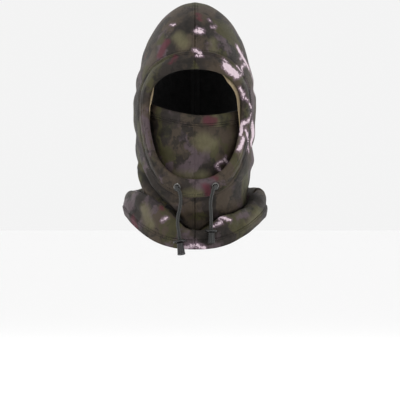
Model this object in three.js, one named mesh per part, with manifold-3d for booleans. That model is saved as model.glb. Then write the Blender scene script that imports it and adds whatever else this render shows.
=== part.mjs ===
// A hooded camouflage face mask: a two-half hood with a drawcord tunnel round the face
// opening, a pull-down mask panel inside it, and a cowl-like cape round the neck.
// Millimetres, +Z up. The front faces -Y, +X is the wearer's left, the origin is the
// point inside the top of the crown where the wearer's head touches the cloth.
import * as THREE from 'three';
import { mergeVertices } from 'three/addons/utils/BufferGeometryUtils.js';
import Module from 'manifold-3d';

const wasm = await Module();
wasm.setup();

// ---- Driving sizes ----------------------------------------------------------------

// The hood's outer surface.
const HOOD_WIDTH = 163; // across the ears
const HOOD_FRONT = 101; // from the crown's axis forward to the chin and brow
const HOOD_BACK = 102; // from the crown's axis back to the back of the head
const APEX_Z = 4; // the crown seam's highest point
const THROAT_Z = -305; // the hood's lower edge at the throat
const NECK_SIDE_Z = -265; // the hood's lower edge under the ears
const NAPE_Z = -262; // the hood's lower edge at the nape
const CROWN_RIDGE = 1.3; // above 1 gives the crown its pointed ridge along the seam
const FRONT_FULLNESS = 0.8; // below 1 gives the front a fuller curve than an ellipse's
const RIDGE_END = 0.4; // share of the hood's height where the ridge has faded out

// The face opening, seen from the front.
const OPENING_WIDTH = 122;
const OPENING_TOP_Z = -87.5;
const OPENING_WIDEST_Z = -137.6;
const OPENING_BOTTOM_Z = -231;
const OPENING_ROUNDNESS = 2.4; // 2 is an ellipse, more is squarer

// The drawcord tunnel round it.
const BAND_HEIGHT = 23.5; // at the brow and the chin
const BAND_SIDE_WIDTH = 11.5; // at the cheeks, where the band turns away from the front
const BAND_WALL = 1.2; // the folded edges
const FACING_REVEAL = 2; // how far the pale facing shows inside the opening

// Cloth.
const SHELL_CLOTH = 1;
const LINING_CLOTH = 0.8;
const TAPE_HALF_WIDTH = 6;
const GAP = 0.3; // between pieces that touch

// Cord, eyelets and what is on the cord.
const CORD_DIAMETER = 4.4;
const CORD_CLEARANCE = 0.4;
const CORD_SIDES = 8;
const CORD_SLACK = 1; // how far the cord sinks below the hood's outer surface
const CORD_BEND_ROOM = 1.2; // between the cord and the centre of its bend behind an eyelet
const CORD_LEAD = 0.13; // radians along the outline from that bend to the tunnel's middle
const TUNNEL_STEPS = 20; // cord points in each half of the tunnel
const TAIL_LEAD = 1.6; // straight length of a tail out of its eyelet
const EYELET_X = { left: 21.5, right: 24.5 }; // each from the centre seam
const EYELET_FLANGE = 5; // radius
const EYELET_WALL = 0.6;
const EYELET_HEIGHT = 0.8;
const WASHER_THICKNESS = 0.5;
const PATCH_THICKNESS = 0.5;
const PATCH_RADIUS = 6.8;
const PATCH_CLEARANCE = 1.3; // the flat patch under the curved band
const DISC_THICKNESS = 2.4;
const DISC_RADIUS = { left: 9, right: 8 };
const BELL_TOP_RADIUS = 4.5;
const BELL_BOTTOM_RADIUS = 5.3;
const BELL_LENGTH = { left: 16, right: 15 };
const BELL_WALL = 1;
const KNOT_RADIUS = 3.2;
const KNOT_SIDES = 12;
const KNOT_RINGS = 8;
const BELL_SIDES = 20;

// The mask panel.
const MASK_INSET = { side: 7.1, throat: 16.1 }; // from the facing's inner face to its own oval
const MASK_SIDE_ANGLE = 66; // degrees from the nose round to each side seam
const MASK_TOP_Z = -147; // at the nose
const MASK_SIDE_RISE = 13; // how much higher the top edge is at the side seams
const MASK_HEM_HEIGHT = 16;
const MASK_BOTTOM_Z = -252;
const MASK_REACH = { top: -2.6, nose: 2.4, chin: -3.6, bottom: -10.6 }; // past that face, at the front
const MASK_NOSE_Z = -172;
const MASK_CHIN_Z = -222;
const MASK_RIDGE = 1.15;
const HEM_POCKET = 1.4; // between the two layers of the mask's hem
const ELASTIC_THICKNESS = 0.8;
const ELASTIC_HEIGHT = 10;
const ELASTIC_REACH = 0.97; // its share of the hem's length
const HEM_POCKET_REACH = 1.02; // the pocket is open at both ends
const MASK_COLUMNS = 22;
const MASK_ROWS = 8;
const MASK_HEM_ROWS = 2;

// Where each piece of the cape runs, in rings; the hem starts just past the panel's edge.
const CAPE_PANEL_STOPS = [0, 0.6, 1, 1.4, 2, 2.7, 3, 3.3, 3.6, 4, 4.5, 4.8, 4.96];
const CAPE_LINING_STOPS = [3.6, 4, 4.5, 4.8];
const CAPE_HEM_STOPS = [5.03, 5.5, 6];
const CAPE_HEM_CLOTH = 2.4; // the folded hem's two layers and what is turned in
const CAPE_COLUMNS = 16;

// Blank care label inside the nape.
const LABEL_WIDTH = 34;
const LABEL_HEIGHT = 24;
const LABEL_THICKNESS = 0.4;
const LABEL_TOP_Z = -190;

// The hood's shape: share of its height, then half-width, front and back as shares of
// their full sizes.
const HOOD_STATIONS = [
  [0, 0, 0, 0],
  [0.012, 0.207, 0.235, 0.255],
  [0.042, 0.4, 0.455, 0.5],
  [0.084, 0.565, 0.63, 0.69],
  [0.14, 0.705, 0.765, 0.815],
  [0.198, 0.81, 0.87, 0.905],
  [0.314, 0.93, 0.975, 0.985],
  [0.385, 0.978, 1, 1],
  [0.46, 1, 0.995, 0.975],
  [0.532, 0.98, 0.99, 0.92],
  [0.622, 0.955, 1, 0.835],
  [0.703, 0.935, 1, 0.77],
  [0.781, 0.865, 0.965, 0.735],
  [0.861, 0.83, 0.9, 0.735],
  [1, 0.825, 0.795, 0.745],
];
const HOOD_COLUMNS = 28;
const HOOD_ROWS = 16;

// The free ends of the drawcord, each from its eyelet's mouth to its end in the bell.
const TAIL_ROUTE = {
  left: [
    [-21.4, -105, -244.8],
    [-19.6, -106, -249],
    [-18.7, -106.7, -255],
    [-18.7, -107.4, -262],
    [-19.9, -108.7, -270],
    [-21.9, -110.3, -279],
    [-22.5, -112, -288.4],
    [-21.3, -113.6, -298.1],
    [-20.1, -115.2, -307.8],
    [-18.9, -116.8, -317.5],
  ],
  right: [
    [24.8, -104.4, -242.6],
    [23.2, -106, -247],
    [21.5, -106.7, -254],
    [20.3, -107.3, -262],
    [20.6, -108, -269],
    [21, -108.8, -276],
    [21.2, -109.6, -284],
    [21.2, -110.6, -294],
    [21.2, -111.6, -304],
  ],
};

// ---- Places worked out from them ---------------------------------------------------

const CORD_RADIUS = CORD_DIAMETER / 2;
// Distances out from the hood's outer surface.
const WASHER_IN = CORD_CLEARANCE + CORD_RADIUS - CORD_SLACK;
const CORD_LEVEL = WASHER_IN - CORD_CLEARANCE - CORD_RADIUS;
const PATCH_IN = WASHER_IN + WASHER_THICKNESS + GAP;
const BAND_IN = PATCH_IN + PATCH_THICKNESS + PATCH_CLEARANCE;
const BAND_OUT = BAND_IN + SHELL_CLOTH;
const FLANGE_IN = BAND_OUT + GAP;
const FLANGE_OUT = FLANGE_IN + EYELET_HEIGHT;
const FACING_OUT = CORD_LEVEL - CORD_RADIUS - CORD_CLEARANCE;
const FACING_IN = FACING_OUT - LINING_CLOTH;
const LINING_OUT = -SHELL_CLOTH - GAP;
const LINING_IN = LINING_OUT - LINING_CLOTH;
const MASK_WIDTH = HOOD_WIDTH + 2 * (FACING_IN - MASK_INSET.side);
const MASK_BOTTOM_WIDTH = HOOD_WIDTH + 2 * (FACING_IN - MASK_INSET.throat);
const BARREL_IN_RADIUS = CORD_RADIUS + CORD_CLEARANCE;
const BARREL_OUT_RADIUS = BARREL_IN_RADIUS + EYELET_WALL;

const mix = THREE.MathUtils.lerp;
const radians = THREE.MathUtils.degToRad;
const signedPower = (value, power) => Math.sign(value) * Math.abs(value) ** power;

// ---- Meshes and booleans -----------------------------------------------------------

function plainGeometry(positions, triangles) {
  const geometry = new THREE.BufferGeometry();
  geometry.setAttribute('position', new THREE.BufferAttribute(new Float32Array(positions), 3));
  geometry.setIndex(triangles);
  return geometry;
}

function toSolid(geometry) {
  const bare = geometry.clone();
  bare.deleteAttribute('normal');
  bare.deleteAttribute('uv');
  const merged = mergeVertices(bare, 1e-4);
  const index = merged.index.array;
  const kept = [];
  for (let t = 0; t < index.length; t += 3) {
    const [a, b, c] = [index[t], index[t + 1], index[t + 2]];
    if (a !== b && b !== c && c !== a) kept.push(a, b, c);
  }
  const mesh = new wasm.Mesh({
    numProp: 3,
    vertProperties: new Float32Array(merged.attributes.position.array),
    triVerts: new Uint32Array(kept),
  });
  return new wasm.Manifold(mesh);
}

function toGeometry(solid) {
  const { vertProperties, triVerts } = solid.getMesh();
  return plainGeometry(vertProperties, Array.from(triVerts));
}

function boxSolid(low, high) {
  const size = high.map((value, axis) => value - low[axis]);
  const box = new THREE.BoxGeometry(...size);
  box.translate(...low.map((value, axis) => value + size[axis] / 2));
  return toSolid(box);
}

const FAR = 400; // beyond everything
const halfSpace = {
  left: boxSolid([-FAR, -FAR, -FAR], [-GAP / 2, FAR, FAR]),
  right: boxSolid([GAP / 2, -FAR, -FAR], [FAR, FAR, FAR]),
};

// A cloth sheet between two distances from a base surface. place(u, v) gives the base
// surface; wrap closes it on itself in u.
// mirrored turns the faces of a left-hand copy of a right-hand sheet the right way out.
function sheet({ columns, rows, place, outer, inner, wrap = false, mirrored = false, trim = (p) => p }) {
  const step = 1e-3;
  const at = (u, v, distance) => {
    const [u0, u1] = wrap ? [u - step, u + step] : [Math.max(0, u - step), Math.min(1, u + step)];
    const along = place(u1, v).sub(place(u0, v));
    const down = place(u, v + step).sub(place(u, v - step));
    const normal = along.cross(down);
    if (normal.lengthSq() < 1e-14) normal.set(0, 0, -1);
    return trim(place(u, v).addScaledVector(normal.normalize(), -distance), u, v);
  };
  const positions = [];
  const across = wrap ? columns : columns + 1;
  for (const distance of [outer, inner]) {
    for (let j = 0; j <= rows; j += 1) {
      for (let i = 0; i < across; i += 1) positions.push(...at(i / columns, j / rows, distance));
    }
  }
  const layer = across * (rows + 1);
  const id = (side, i, j) => side * layer + j * across + (i % across);
  const triangles = [];
  const quad = (a, b, c, d) => {
    if (mirrored) triangles.push(c, b, a, d, c, a);
    else triangles.push(a, b, c, a, c, d);
  };
  for (let j = 0; j < rows; j += 1) {
    for (let i = 0; i < columns; i += 1) {
      quad(id(0, i, j), id(0, i, j + 1), id(0, i + 1, j + 1), id(0, i + 1, j));
      quad(id(1, i, j), id(1, i + 1, j), id(1, i + 1, j + 1), id(1, i, j + 1));
    }
  }
  for (let i = 0; i < columns; i += 1) {
    quad(id(0, i, 0), id(0, i + 1, 0), id(1, i + 1, 0), id(1, i, 0));
    quad(id(0, i, rows), id(1, i, rows), id(1, i + 1, rows), id(0, i + 1, rows));
  }
  if (!wrap) {
    for (let j = 0; j < rows; j += 1) {
      quad(id(0, 0, j), id(1, 0, j), id(1, 0, j + 1), id(0, 0, j + 1));
      quad(id(0, columns, j), id(0, columns, j + 1), id(1, columns, j + 1), id(1, columns, j));
    }
  }
  return toSolid(plainGeometry(positions, triangles));
}

// ---- The hood's surface --------------------------------------------------------------

// The Catmull-Rom blend of four neighbouring values, t of the way from the second to the third.
function blendOfFour([a, b, c, d], t) {
  const bend = (3 * (b - c) + d - a) * t ** 3 + (2 * a - 5 * b + 4 * c - d) * t ** 2 + (c - a) * t;
  return b + bend / 2;
}

// A smooth line through the stations: share from 0 at the apex to 1 at the lower edge.
function station(share) {
  const last = HOOD_STATIONS.length - 1;
  const at = THREE.MathUtils.clamp(share, 0, 1) * last;
  const k = Math.min(Math.floor(at), last - 1);
  const rows = [k - 1, k, k + 1, k + 2].map((n) => HOOD_STATIONS[THREE.MathUtils.clamp(n, 0, last)]);
  return rows[0].map((_, c) => blendOfFour(rows.map((row) => row[c]), at - k));
}

function lowerEdgeZ(angle) {
  const middle = Math.cos(angle) > 0 ? THROAT_Z : NAPE_Z;
  return mix(middle, NECK_SIDE_Z, Math.abs(Math.sin(angle)) ** NECK_CURVE);
}

function shareAtZ(z) {
  let [low, high] = [0, 1];
  for (let n = 0; n < 30; n += 1) {
    const middle = (low + high) / 2;
    if (mix(APEX_Z, THROAT_Z, station(middle)[0]) > z) low = middle;
    else high = middle;
  }
  return (low + high) / 2;
}

// The cape's seam at the neck: how far it lies outside the hood's lower edge.
const NECK_EASE = { side: -0.0282, front: 1.705, back: 1.0307 };
const NECK_SEAM = {
  side: (HOOD_WIDTH / 2) * station(shareAtZ(NECK_SIDE_Z))[1] + NECK_EASE.side,
  front: HOOD_FRONT * station(shareAtZ(THROAT_Z))[2] + NECK_EASE.front,
  back: HOOD_BACK * station(shareAtZ(NAPE_Z))[3] + NECK_EASE.back,
};
const NECK_CURVE = 0.8; // how the lower edge climbs from the throat to the ears

// The cape, as rings from that seam, down into the fold, over the crest and out to the
// hem: how far each ring lies beyond the seam at its side, front and back, and above
// the hood's lower edge at the front, side and back.
const CAPE_RINGS = [
  { out: [0, 0, 0], up: [-GAP, -GAP, -GAP], rise: NECK_CURVE },
  { out: [4.5, 4, 4], up: [-5, -5, -5], rise: 0.8 },
  { out: [9.5, 9, 9], up: [2, 10, 9], rise: 0.8 },
  { out: [14.5, 14, 15], up: [8, 24, 22], rise: 0.8 },
  { out: [23.5, 19, 24], up: [5, 17, 13], rise: 1 },
  { out: [28, 22, 29], up: [-2, 7, -10], rise: 2 },
  { out: [26, 24, 31], up: [-17, -7, -35], rise: 3 },
].map(({ out, up, rise }) => ({
  side: NECK_SEAM.side + out[0],
  front: NECK_SEAM.front + out[1],
  back: NECK_SEAM.back + out[2],
  z: [THROAT_Z + up[0], NECK_SIDE_Z + up[1], NAPE_Z + up[2]],
  rise,
}));
// A point of the hood's outer surface: angle 0 is the front, share runs down from the apex.
function hoodPoint(angle, share) {
  const [drop, wide, front, back] = station(share);
  const ridge = mix(CROWN_RIDGE, 1, THREE.MathUtils.smoothstep(drop, 0, RIDGE_END));
  const reach = Math.cos(angle) > 0
    ? front * HOOD_FRONT * Math.cos(angle) ** FRONT_FULLNESS
    : back * HOOD_BACK * Math.cos(angle);
  return new THREE.Vector3(
    (wide * HOOD_WIDTH / 2) * signedPower(Math.sin(angle), ridge),
    -reach,
    mix(APEX_Z, THROAT_Z, drop),
  );
}

const hoodPlace = (u, v) => {
  const angle = u * 2 * Math.PI;
  return hoodPoint(angle, v * shareAtZ(lowerEdgeZ(angle)));
};

const hoodLayer = (outer, inner) =>
  sheet({ columns: HOOD_COLUMNS, rows: HOOD_ROWS, place: hoodPlace, outer, inner, wrap: true });

// Where the hood's surface is at a place seen from the front, with its outward normal.
function onFront(x, z, distance) {
  const share = shareAtZ(z);
  const [drop, wide] = station(share);
  const ridge = mix(CROWN_RIDGE, 1, THREE.MathUtils.smoothstep(drop, 0, RIDGE_END));
  const angle = Math.asin(signedPower(x / (wide * HOOD_WIDTH / 2), 1 / ridge));
  const step = 1e-3;
  const across = hoodPoint(angle + step, share).sub(hoodPoint(angle - step, share));
  const down = hoodPoint(angle, share + step).sub(hoodPoint(angle, share - step));
  const normal = down.cross(across).normalize();
  return { point: hoodPoint(angle, share).addScaledVector(normal, distance), normal };
}

// ---- The face opening's outline ------------------------------------------------------

// grow is how far the outline lies outside the opening: at the brow and chin, and at the cheeks.
function eggPoint(angle, growEnds, growSides) {
  const half = OPENING_WIDTH / 2 + growSides;
  const up = OPENING_TOP_Z - OPENING_WIDEST_Z + growEnds;
  const down = OPENING_WIDEST_Z - OPENING_BOTTOM_Z + growEnds;
  const power = 2 / OPENING_ROUNDNESS;
  const tall = Math.cos(angle) > 0 ? up : down;
  return [
    half * signedPower(Math.sin(angle), power),
    OPENING_WIDEST_Z + tall * signedPower(Math.cos(angle), power),
  ];
}

const EGG_POINTS = 36;
const PRISM_DEPTH = 150;
const PRISM_BACK = 8; // ends in front of the ears' plane, clear of the back of the hood

function eggPrism(growEnds, growSides) {
  const outline = Array.from({ length: EGG_POINTS }, (_, n) =>
    new THREE.Vector2(...eggPoint((n * 2 * Math.PI) / EGG_POINTS, growEnds, growSides)));
  const prism = new THREE.ExtrudeGeometry(new THREE.Shape(outline), {
    depth: PRISM_DEPTH,
    bevelEnabled: false,
  });
  prism.rotateX(Math.PI / 2);
  prism.translate(0, -PRISM_BACK, 0);
  return toSolid(prism);
}

const openingPrism = eggPrism(0, 0);
const bandPrism = eggPrism(BAND_HEIGHT, BAND_SIDE_WIDTH);

// ---- Turned pieces and cords ------------------------------------------------------------

function turned(profile, sides) {
  return new THREE.LatheGeometry(profile.map(([r, z]) => new THREE.Vector2(r, z)), sides);
}

// Lays a turned piece's own axis along a direction, with its base at a point.
function laidAlong(geometry, point, direction) {
  const turn = new THREE.Quaternion().setFromUnitVectors(new THREE.Vector3(0, 1, 0), direction);
  return geometry.clone().applyQuaternion(turn).translate(point.x, point.y, point.z);
}

const ringProfile = (inRadius, outRadius, low, high) => [
  [inRadius, low],
  [outRadius, low],
  [outRadius, high],
  [inRadius, high],
  [inRadius, low],
];

// Rings of the tube fall on the route's own points, so they are close where it bends.
class CordCurve extends THREE.CatmullRomCurve3 {
  getUtoTmapping(u) {
    return u;
  }
}

function cordTube(points) {
  const section = Array.from({ length: CORD_SIDES }, (_, n) => {
    const angle = (n * 2 * Math.PI) / CORD_SIDES;
    return new THREE.Vector2(CORD_RADIUS * Math.cos(angle), CORD_RADIUS * Math.sin(angle));
  });
  return new THREE.ExtrudeGeometry(new THREE.Shape(section), {
    steps: points.length - 1,
    bevelEnabled: false,
    extrudePath: new CordCurve(points),
  });
}

// ---- Nodes ---------------------------------------------------------------------------------

const part = new THREE.Group();
const LOOKS = {
  shell: { color: 0x4a4340, roughness: 0.75, metalness: 0 },
  band: { color: 0x514a44, roughness: 0.75, metalness: 0 },
  mask: { color: 0x3d3737, roughness: 0.78, metalness: 0 },
  lining: { color: 0x1d1b1b, roughness: 0.95, metalness: 0 },
  facing: { color: 0xa08a63, roughness: 0.85, metalness: 0 },
  tape: { color: 0x262424, roughness: 0.9, metalness: 0 },
  elastic: { color: 0x2c2b2b, roughness: 0.8, metalness: 0 },
  cord: { color: 0x33322f, roughness: 0.8, metalness: 0 },
  nickel: { color: 0x6c6a66, roughness: 0.3, metalness: 1 },
  plastic: { color: 0x161616, roughness: 0.35, metalness: 0 },
  label: { color: 0xb9b6ae, roughness: 0.8, metalness: 0 },
};
const materials = Object.fromEntries(
  Object.entries(LOOKS).map(([name, look]) => [name, new THREE.MeshStandardMaterial(look)]),
);

function addNode(name, geometry, look) {
  const mesh = new THREE.Mesh(geometry, materials[look]);
  mesh.name = name;
  part.add(mesh);
}

const SIDES = ['left', 'right'];
const signOf = { left: -1, right: 1 };

function addHood() {
  const cutFace = eggPrism(BAND_HEIGHT + GAP, BAND_SIDE_WIDTH + GAP);
  const shell = hoodLayer(0, -SHELL_CLOTH).subtract(cutFace);
  const lining = hoodLayer(LINING_OUT, LINING_IN).subtract(cutFace);
  const middle = boxSolid([-TAPE_HALF_WIDTH, -FAR, -FAR], [TAPE_HALF_WIDTH, FAR, FAR]);
  const wider = TAPE_HALF_WIDTH + GAP;
  const besides = {
    left: boxSolid([-FAR, -FAR, -FAR], [-wider, FAR, FAR]),
    right: boxSolid([wider, -FAR, -FAR], [FAR, FAR, FAR]),
  };
  const throat = boxSolid([-FAR, -FAR, -FAR], [FAR, 0, OPENING_WIDEST_Z]);
  for (const side of SIDES) {
    addNode(`hood_panel_${side}`, toGeometry(shell.intersect(halfSpace[side])), 'shell');
    addNode(`hood_lining_${side}`, toGeometry(lining.intersect(besides[side])), 'lining');
  }
  const tape = lining.intersect(middle);
  addNode('crown_seam_tape', toGeometry(tape.subtract(throat)), 'tape');
  addNode('throat_seam_tape', toGeometry(tape.intersect(throat)), 'tape');
}

const TUNNEL_HALF_WIDTH = OPENING_WIDTH / 2 + BAND_SIDE_WIDTH / 2;

const eyelets = Object.fromEntries(SIDES.map((side) => {
  const middle = eggPoint(Math.PI, BAND_HEIGHT / 2, 0)[1];
  const tall = OPENING_WIDEST_Z - middle;
  const across = (EYELET_X[side] / TUNNEL_HALF_WIDTH) ** OPENING_ROUNDNESS;
  const share = (1 - across) ** (1 / OPENING_ROUNDNESS);
  return [side, onFront(signOf[side] * EYELET_X[side], OPENING_WIDEST_Z - tall * share, 0)];
}));

function addFaceBand() {
  const ring = bandPrism.subtract(openingPrism);
  const hollow = eggPrism(BAND_HEIGHT - BAND_WALL, BAND_SIDE_WIDTH - BAND_WALL)
    .subtract(eggPrism(BAND_WALL, BAND_WALL));
  const channel = hoodLayer(BAND_OUT, FACING_OUT + GAP).intersect(ring)
    .subtract(hoodLayer(BAND_IN, FACING_IN).intersect(hollow));
  const facingRing = bandPrism.subtract(eggPrism(-FACING_REVEAL, -FACING_REVEAL));
  const facing = hoodLayer(FACING_OUT, FACING_IN).intersect(facingRing);
  const holeRadius = BARREL_OUT_RADIUS + GAP;
  const holeProfile = [
    [0, CORD_LEVEL],
    [holeRadius, CORD_LEVEL],
    [holeRadius, FLANGE_OUT],
    [0, FLANGE_OUT],
  ];
  for (const side of SIDES) {
    const { point, normal } = eyelets[side];
    const hole = toSolid(laidAlong(turned(holeProfile, BELL_SIDES), point, normal));
    const band = channel.intersect(halfSpace[side]).subtract(hole);
    addNode(`face_band_${side}`, toGeometry(band), 'band');
    addNode(`face_facing_${side}`, toGeometry(facing.intersect(halfSpace[side])), 'facing');
    const flange = toSolid(laidAlong(
      turned(ringProfile(BARREL_IN_RADIUS, EYELET_FLANGE, FLANGE_IN, FLANGE_OUT), BELL_SIDES),
      point,
      normal,
    ));
    const barrel = toSolid(laidAlong(
      turned(ringProfile(BARREL_IN_RADIUS, BARREL_OUT_RADIUS, WASHER_IN, FLANGE_OUT), BELL_SIDES),
      point,
      normal,
    ));
    addNode(`eyelet_${side}`, toGeometry(flange.add(barrel)), 'nickel');
    const washer = turned(
      ringProfile(holeRadius, EYELET_FLANGE, WASHER_IN, WASHER_IN + WASHER_THICKNESS),
      BELL_SIDES,
    );
    addNode(`eyelet_washer_${side}`, laidAlong(washer, point, normal), 'nickel');
    const patch = turned(
      ringProfile(holeRadius, PATCH_RADIUS, PATCH_IN, PATCH_IN + PATCH_THICKNESS),
      BELL_SIDES,
    );
    addNode(`eyelet_patch_${side}`, laidAlong(patch, point, normal), 'tape');
  }
}

// The drawcord from one eyelet's mouth, round its bend and up its half of the tunnel.
function drawcordHalf(side) {
  const sign = signOf[side];
  const bendRadius = CORD_RADIUS + CORD_BEND_ROOM;
  const cordEgg = (angle) => {
    const [x, z] = eggPoint(angle, BAND_HEIGHT / 2, BAND_SIDE_WIDTH / 2);
    return onFront(sign * x, z, CORD_LEVEL).point;
  };
  const across = (EYELET_X[side] / TUNNEL_HALF_WIDTH) ** (OPENING_ROUNDNESS / 2);
  const startAngle = Math.PI - Math.asin(across);
  const along = cordEgg(startAngle - CORD_LEAD / 6).sub(cordEgg(startAngle)).normalize();
  const { point, normal } = eyelets[side];
  const level = point.clone().addScaledVector(normal, CORD_LEVEL);
  const half = [point.clone().addScaledVector(normal, FLANGE_OUT - GAP)];
  for (const degrees of [90, 60, 30, 0]) {
    const turn = radians(degrees);
    half.push(level.clone()
      .addScaledVector(along, bendRadius * (1 - Math.sin(turn)))
      .addScaledVector(normal, bendRadius * (1 - Math.cos(turn))));
  }
  for (let n = 0; n < TUNNEL_STEPS; n += 1) {
    half.push(cordEgg(mix(startAngle - CORD_LEAD, 0, (n + 0.5) / TUNNEL_STEPS)));
  }
  return half;
}

function addDrawcord() {
  const route = [...drawcordHalf('right'), ...drawcordHalf('left').reverse()];
  addNode('drawcord', cordTube(route), 'cord');
}

const points = (list) => list.map((p) => new THREE.Vector3(...p));

function tailRoute(side) {
  const { point, normal } = eyelets[side];
  const mouth = point.clone().addScaledVector(normal, FLANGE_OUT);
  const out = point.clone().addScaledVector(normal, FLANGE_OUT + TAIL_LEAD);
  const over = point.clone().addScaledVector(normal, FLANGE_OUT + 2 * TAIL_LEAD);
  over.z -= TAIL_LEAD;
  return [mouth, out, over, ...points(TAIL_ROUTE[side])];
}

function addTails() {
  for (const side of SIDES) {
    const route = tailRoute(side);
    const end = route[route.length - 1];
    const down = end.clone().sub(route[route.length - 2]).normalize();
    const up = down.clone().negate();
    addNode(`cord_tail_${side}`, cordTube(route), 'cord');
    const length = BELL_LENGTH[side];
    const mouthRadius = CORD_RADIUS + GAP;
    const shoulder = BELL_WALL * 2;
    const bell = [
      [mouthRadius, 0],
      [BELL_TOP_RADIUS, 0],
      [BELL_TOP_RADIUS, shoulder],
      [BELL_BOTTOM_RADIUS, length],
      [BELL_BOTTOM_RADIUS - BELL_WALL, length],
      [BELL_TOP_RADIUS - BELL_WALL, shoulder],
      [mouthRadius, shoulder],
      [mouthRadius, 0],
    ];
    const inBell = shoulder + CORD_RADIUS; // how far the cord reaches into its bell
    const bellTop = end.clone().addScaledVector(down, -inBell);
    addNode(`cord_bell_${side}`, laidAlong(turned(bell, BELL_SIDES), bellTop, down), 'plastic');
    const knot = new THREE.SphereGeometry(KNOT_RADIUS, KNOT_SIDES, KNOT_RINGS);
    const middle = end.clone().addScaledVector(down, GAP + KNOT_RADIUS);
    addNode(`cord_knot_${side}`, laidAlong(knot, middle, down), 'cord');
    const radius = DISC_RADIUS[side];
    const bevel = DISC_THICKNESS / 4;
    const disc = [
      [mouthRadius, 0],
      [radius - bevel, 0],
      [radius, bevel],
      [radius, DISC_THICKNESS - bevel],
      [radius - bevel, DISC_THICKNESS],
      [mouthRadius, DISC_THICKNESS],
      [mouthRadius, 0],
    ];
    const seat = bellTop.clone().addScaledVector(up, GAP);
    addNode(`cord_disc_${side}`, laidAlong(turned(disc, BELL_SIDES), seat, up), 'plastic');
  }
}

// ---- The mask panel ---------------------------------------------------------------------------

const maskReach = (level) => HOOD_FRONT + FACING_IN + MASK_REACH[level];

function maskFront(z) {
  const reaches = ['top', 'nose', 'chin', 'bottom'].map((level) => maskReach(level));
  const [top, nose, chin, bottom] = reaches;
  const ease = (from, to, low, high) => mix(from, to, THREE.MathUtils.smoothstep(-z, -low, -high));
  if (z > MASK_NOSE_Z) return ease(top, nose, MASK_TOP_Z + MASK_SIDE_RISE, MASK_NOSE_Z);
  if (z > MASK_CHIN_Z) return ease(nose, chin, MASK_NOSE_Z, MASK_CHIN_Z);
  return ease(chin, bottom, MASK_CHIN_Z, MASK_BOTTOM_Z);
}

const maskAngle = radians(MASK_SIDE_ANGLE);
const maskTopZ = (angle) => MASK_TOP_Z + MASK_SIDE_RISE * (Math.sin(angle) / Math.sin(maskAngle)) ** 2;

function maskPoint(angle, z, front, width = MASK_WIDTH) {
  return new THREE.Vector3(
    (width / 2) * signedPower(Math.sin(angle), MASK_RIDGE),
    -front * Math.cos(angle),
    z,
  );
}

const maskWidthAt = (z) =>
  mix(MASK_WIDTH, MASK_BOTTOM_WIDTH, THREE.MathUtils.smoothstep(-z, -MASK_NOSE_Z, -MASK_BOTTOM_Z));

function addMask() {
  const hemThickness = 2 * SHELL_CLOTH + HEM_POCKET;
  const hemOut = hemThickness / 2;
  const strip = (fromTop, height, outer, inner, reach = 1) => sheet({
    columns: MASK_COLUMNS,
    rows: MASK_HEM_ROWS,
    outer,
    inner,
    place: (u, v) => {
      const angle = mix(-maskAngle, maskAngle, u) * reach;
      return maskPoint(angle, maskTopZ(angle) - fromTop - v * height, maskReach('top'));
    },
  });
  const pocketOut = HEM_POCKET / 2;
  const pocket = strip(SHELL_CLOTH, MASK_HEM_HEIGHT, pocketOut, -pocketOut, HEM_POCKET_REACH);
  const hem = strip(0, MASK_HEM_HEIGHT, hemOut, -hemOut).subtract(pocket);
  addNode('mask_hem', toGeometry(hem), 'mask');
  const elasticTop = (MASK_HEM_HEIGHT - ELASTIC_HEIGHT) / 2;
  const elasticOut = ELASTIC_THICKNESS / 2;
  const elastic = strip(elasticTop, ELASTIC_HEIGHT, elasticOut, -elasticOut, ELASTIC_REACH);
  addNode('mask_hem_elastic', toGeometry(elastic), 'elastic');
  const below = MASK_HEM_HEIGHT + 2 * GAP;
  const panel = (from, to, outer, inner, columns, edge) => sheet({
    columns,
    rows: MASK_ROWS,
    outer,
    inner,
    place: (u, v) => {
      const angle = mix(from, to, u);
      const z = mix(maskTopZ(angle) - below, MASK_BOTTOM_Z, v);
      return maskPoint(angle, z, maskFront(z), maskWidthAt(z));
    },
    trim: (p, u) => {
      if (edge && u === edge.u) p.x = edge.x;
      return p;
    },
  });
  const panelIn = hemOut - SHELL_CLOTH;
  const half = MASK_COLUMNS / 2;
  const left = panel(-maskAngle, 0, hemOut, panelIn, half, { u: 1, x: -GAP / 2 });
  const right = panel(0, maskAngle, hemOut, panelIn, half, { u: 0, x: GAP / 2 });
  addNode('mask_panel_left', toGeometry(left), 'mask');
  addNode('mask_panel_right', toGeometry(right), 'mask');
  const liningOut = panelIn - GAP;
  const lining = panel(-maskAngle, maskAngle, liningOut, liningOut - LINING_CLOTH, MASK_COLUMNS);
  addNode('mask_lining', toGeometry(lining), 'lining');
}

// ---- The cape -----------------------------------------------------------------------------------

function capePoint(angle, ring) {
  const last = CAPE_RINGS.length - 1;
  const k = THREE.MathUtils.clamp(Math.floor(ring), 0, last - 1);
  const forward = Math.cos(angle) > 0;
  const corners = [k - 1, k, k + 1, k + 2].map((n) => {
    const { side, front, back, z, rise } = CAPE_RINGS[THREE.MathUtils.clamp(n, 0, last)];
    const height = mix(forward ? z[0] : z[2], z[1], Math.abs(Math.sin(angle)) ** rise);
    return [side * Math.sin(angle), -(forward ? front : back) * Math.cos(angle), height];
  });
  const axes = [0, 1, 2];
  return new THREE.Vector3(...axes.map((c) => blendOfFour(corners.map((p) => p[c]), ring - k)));
}

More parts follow.
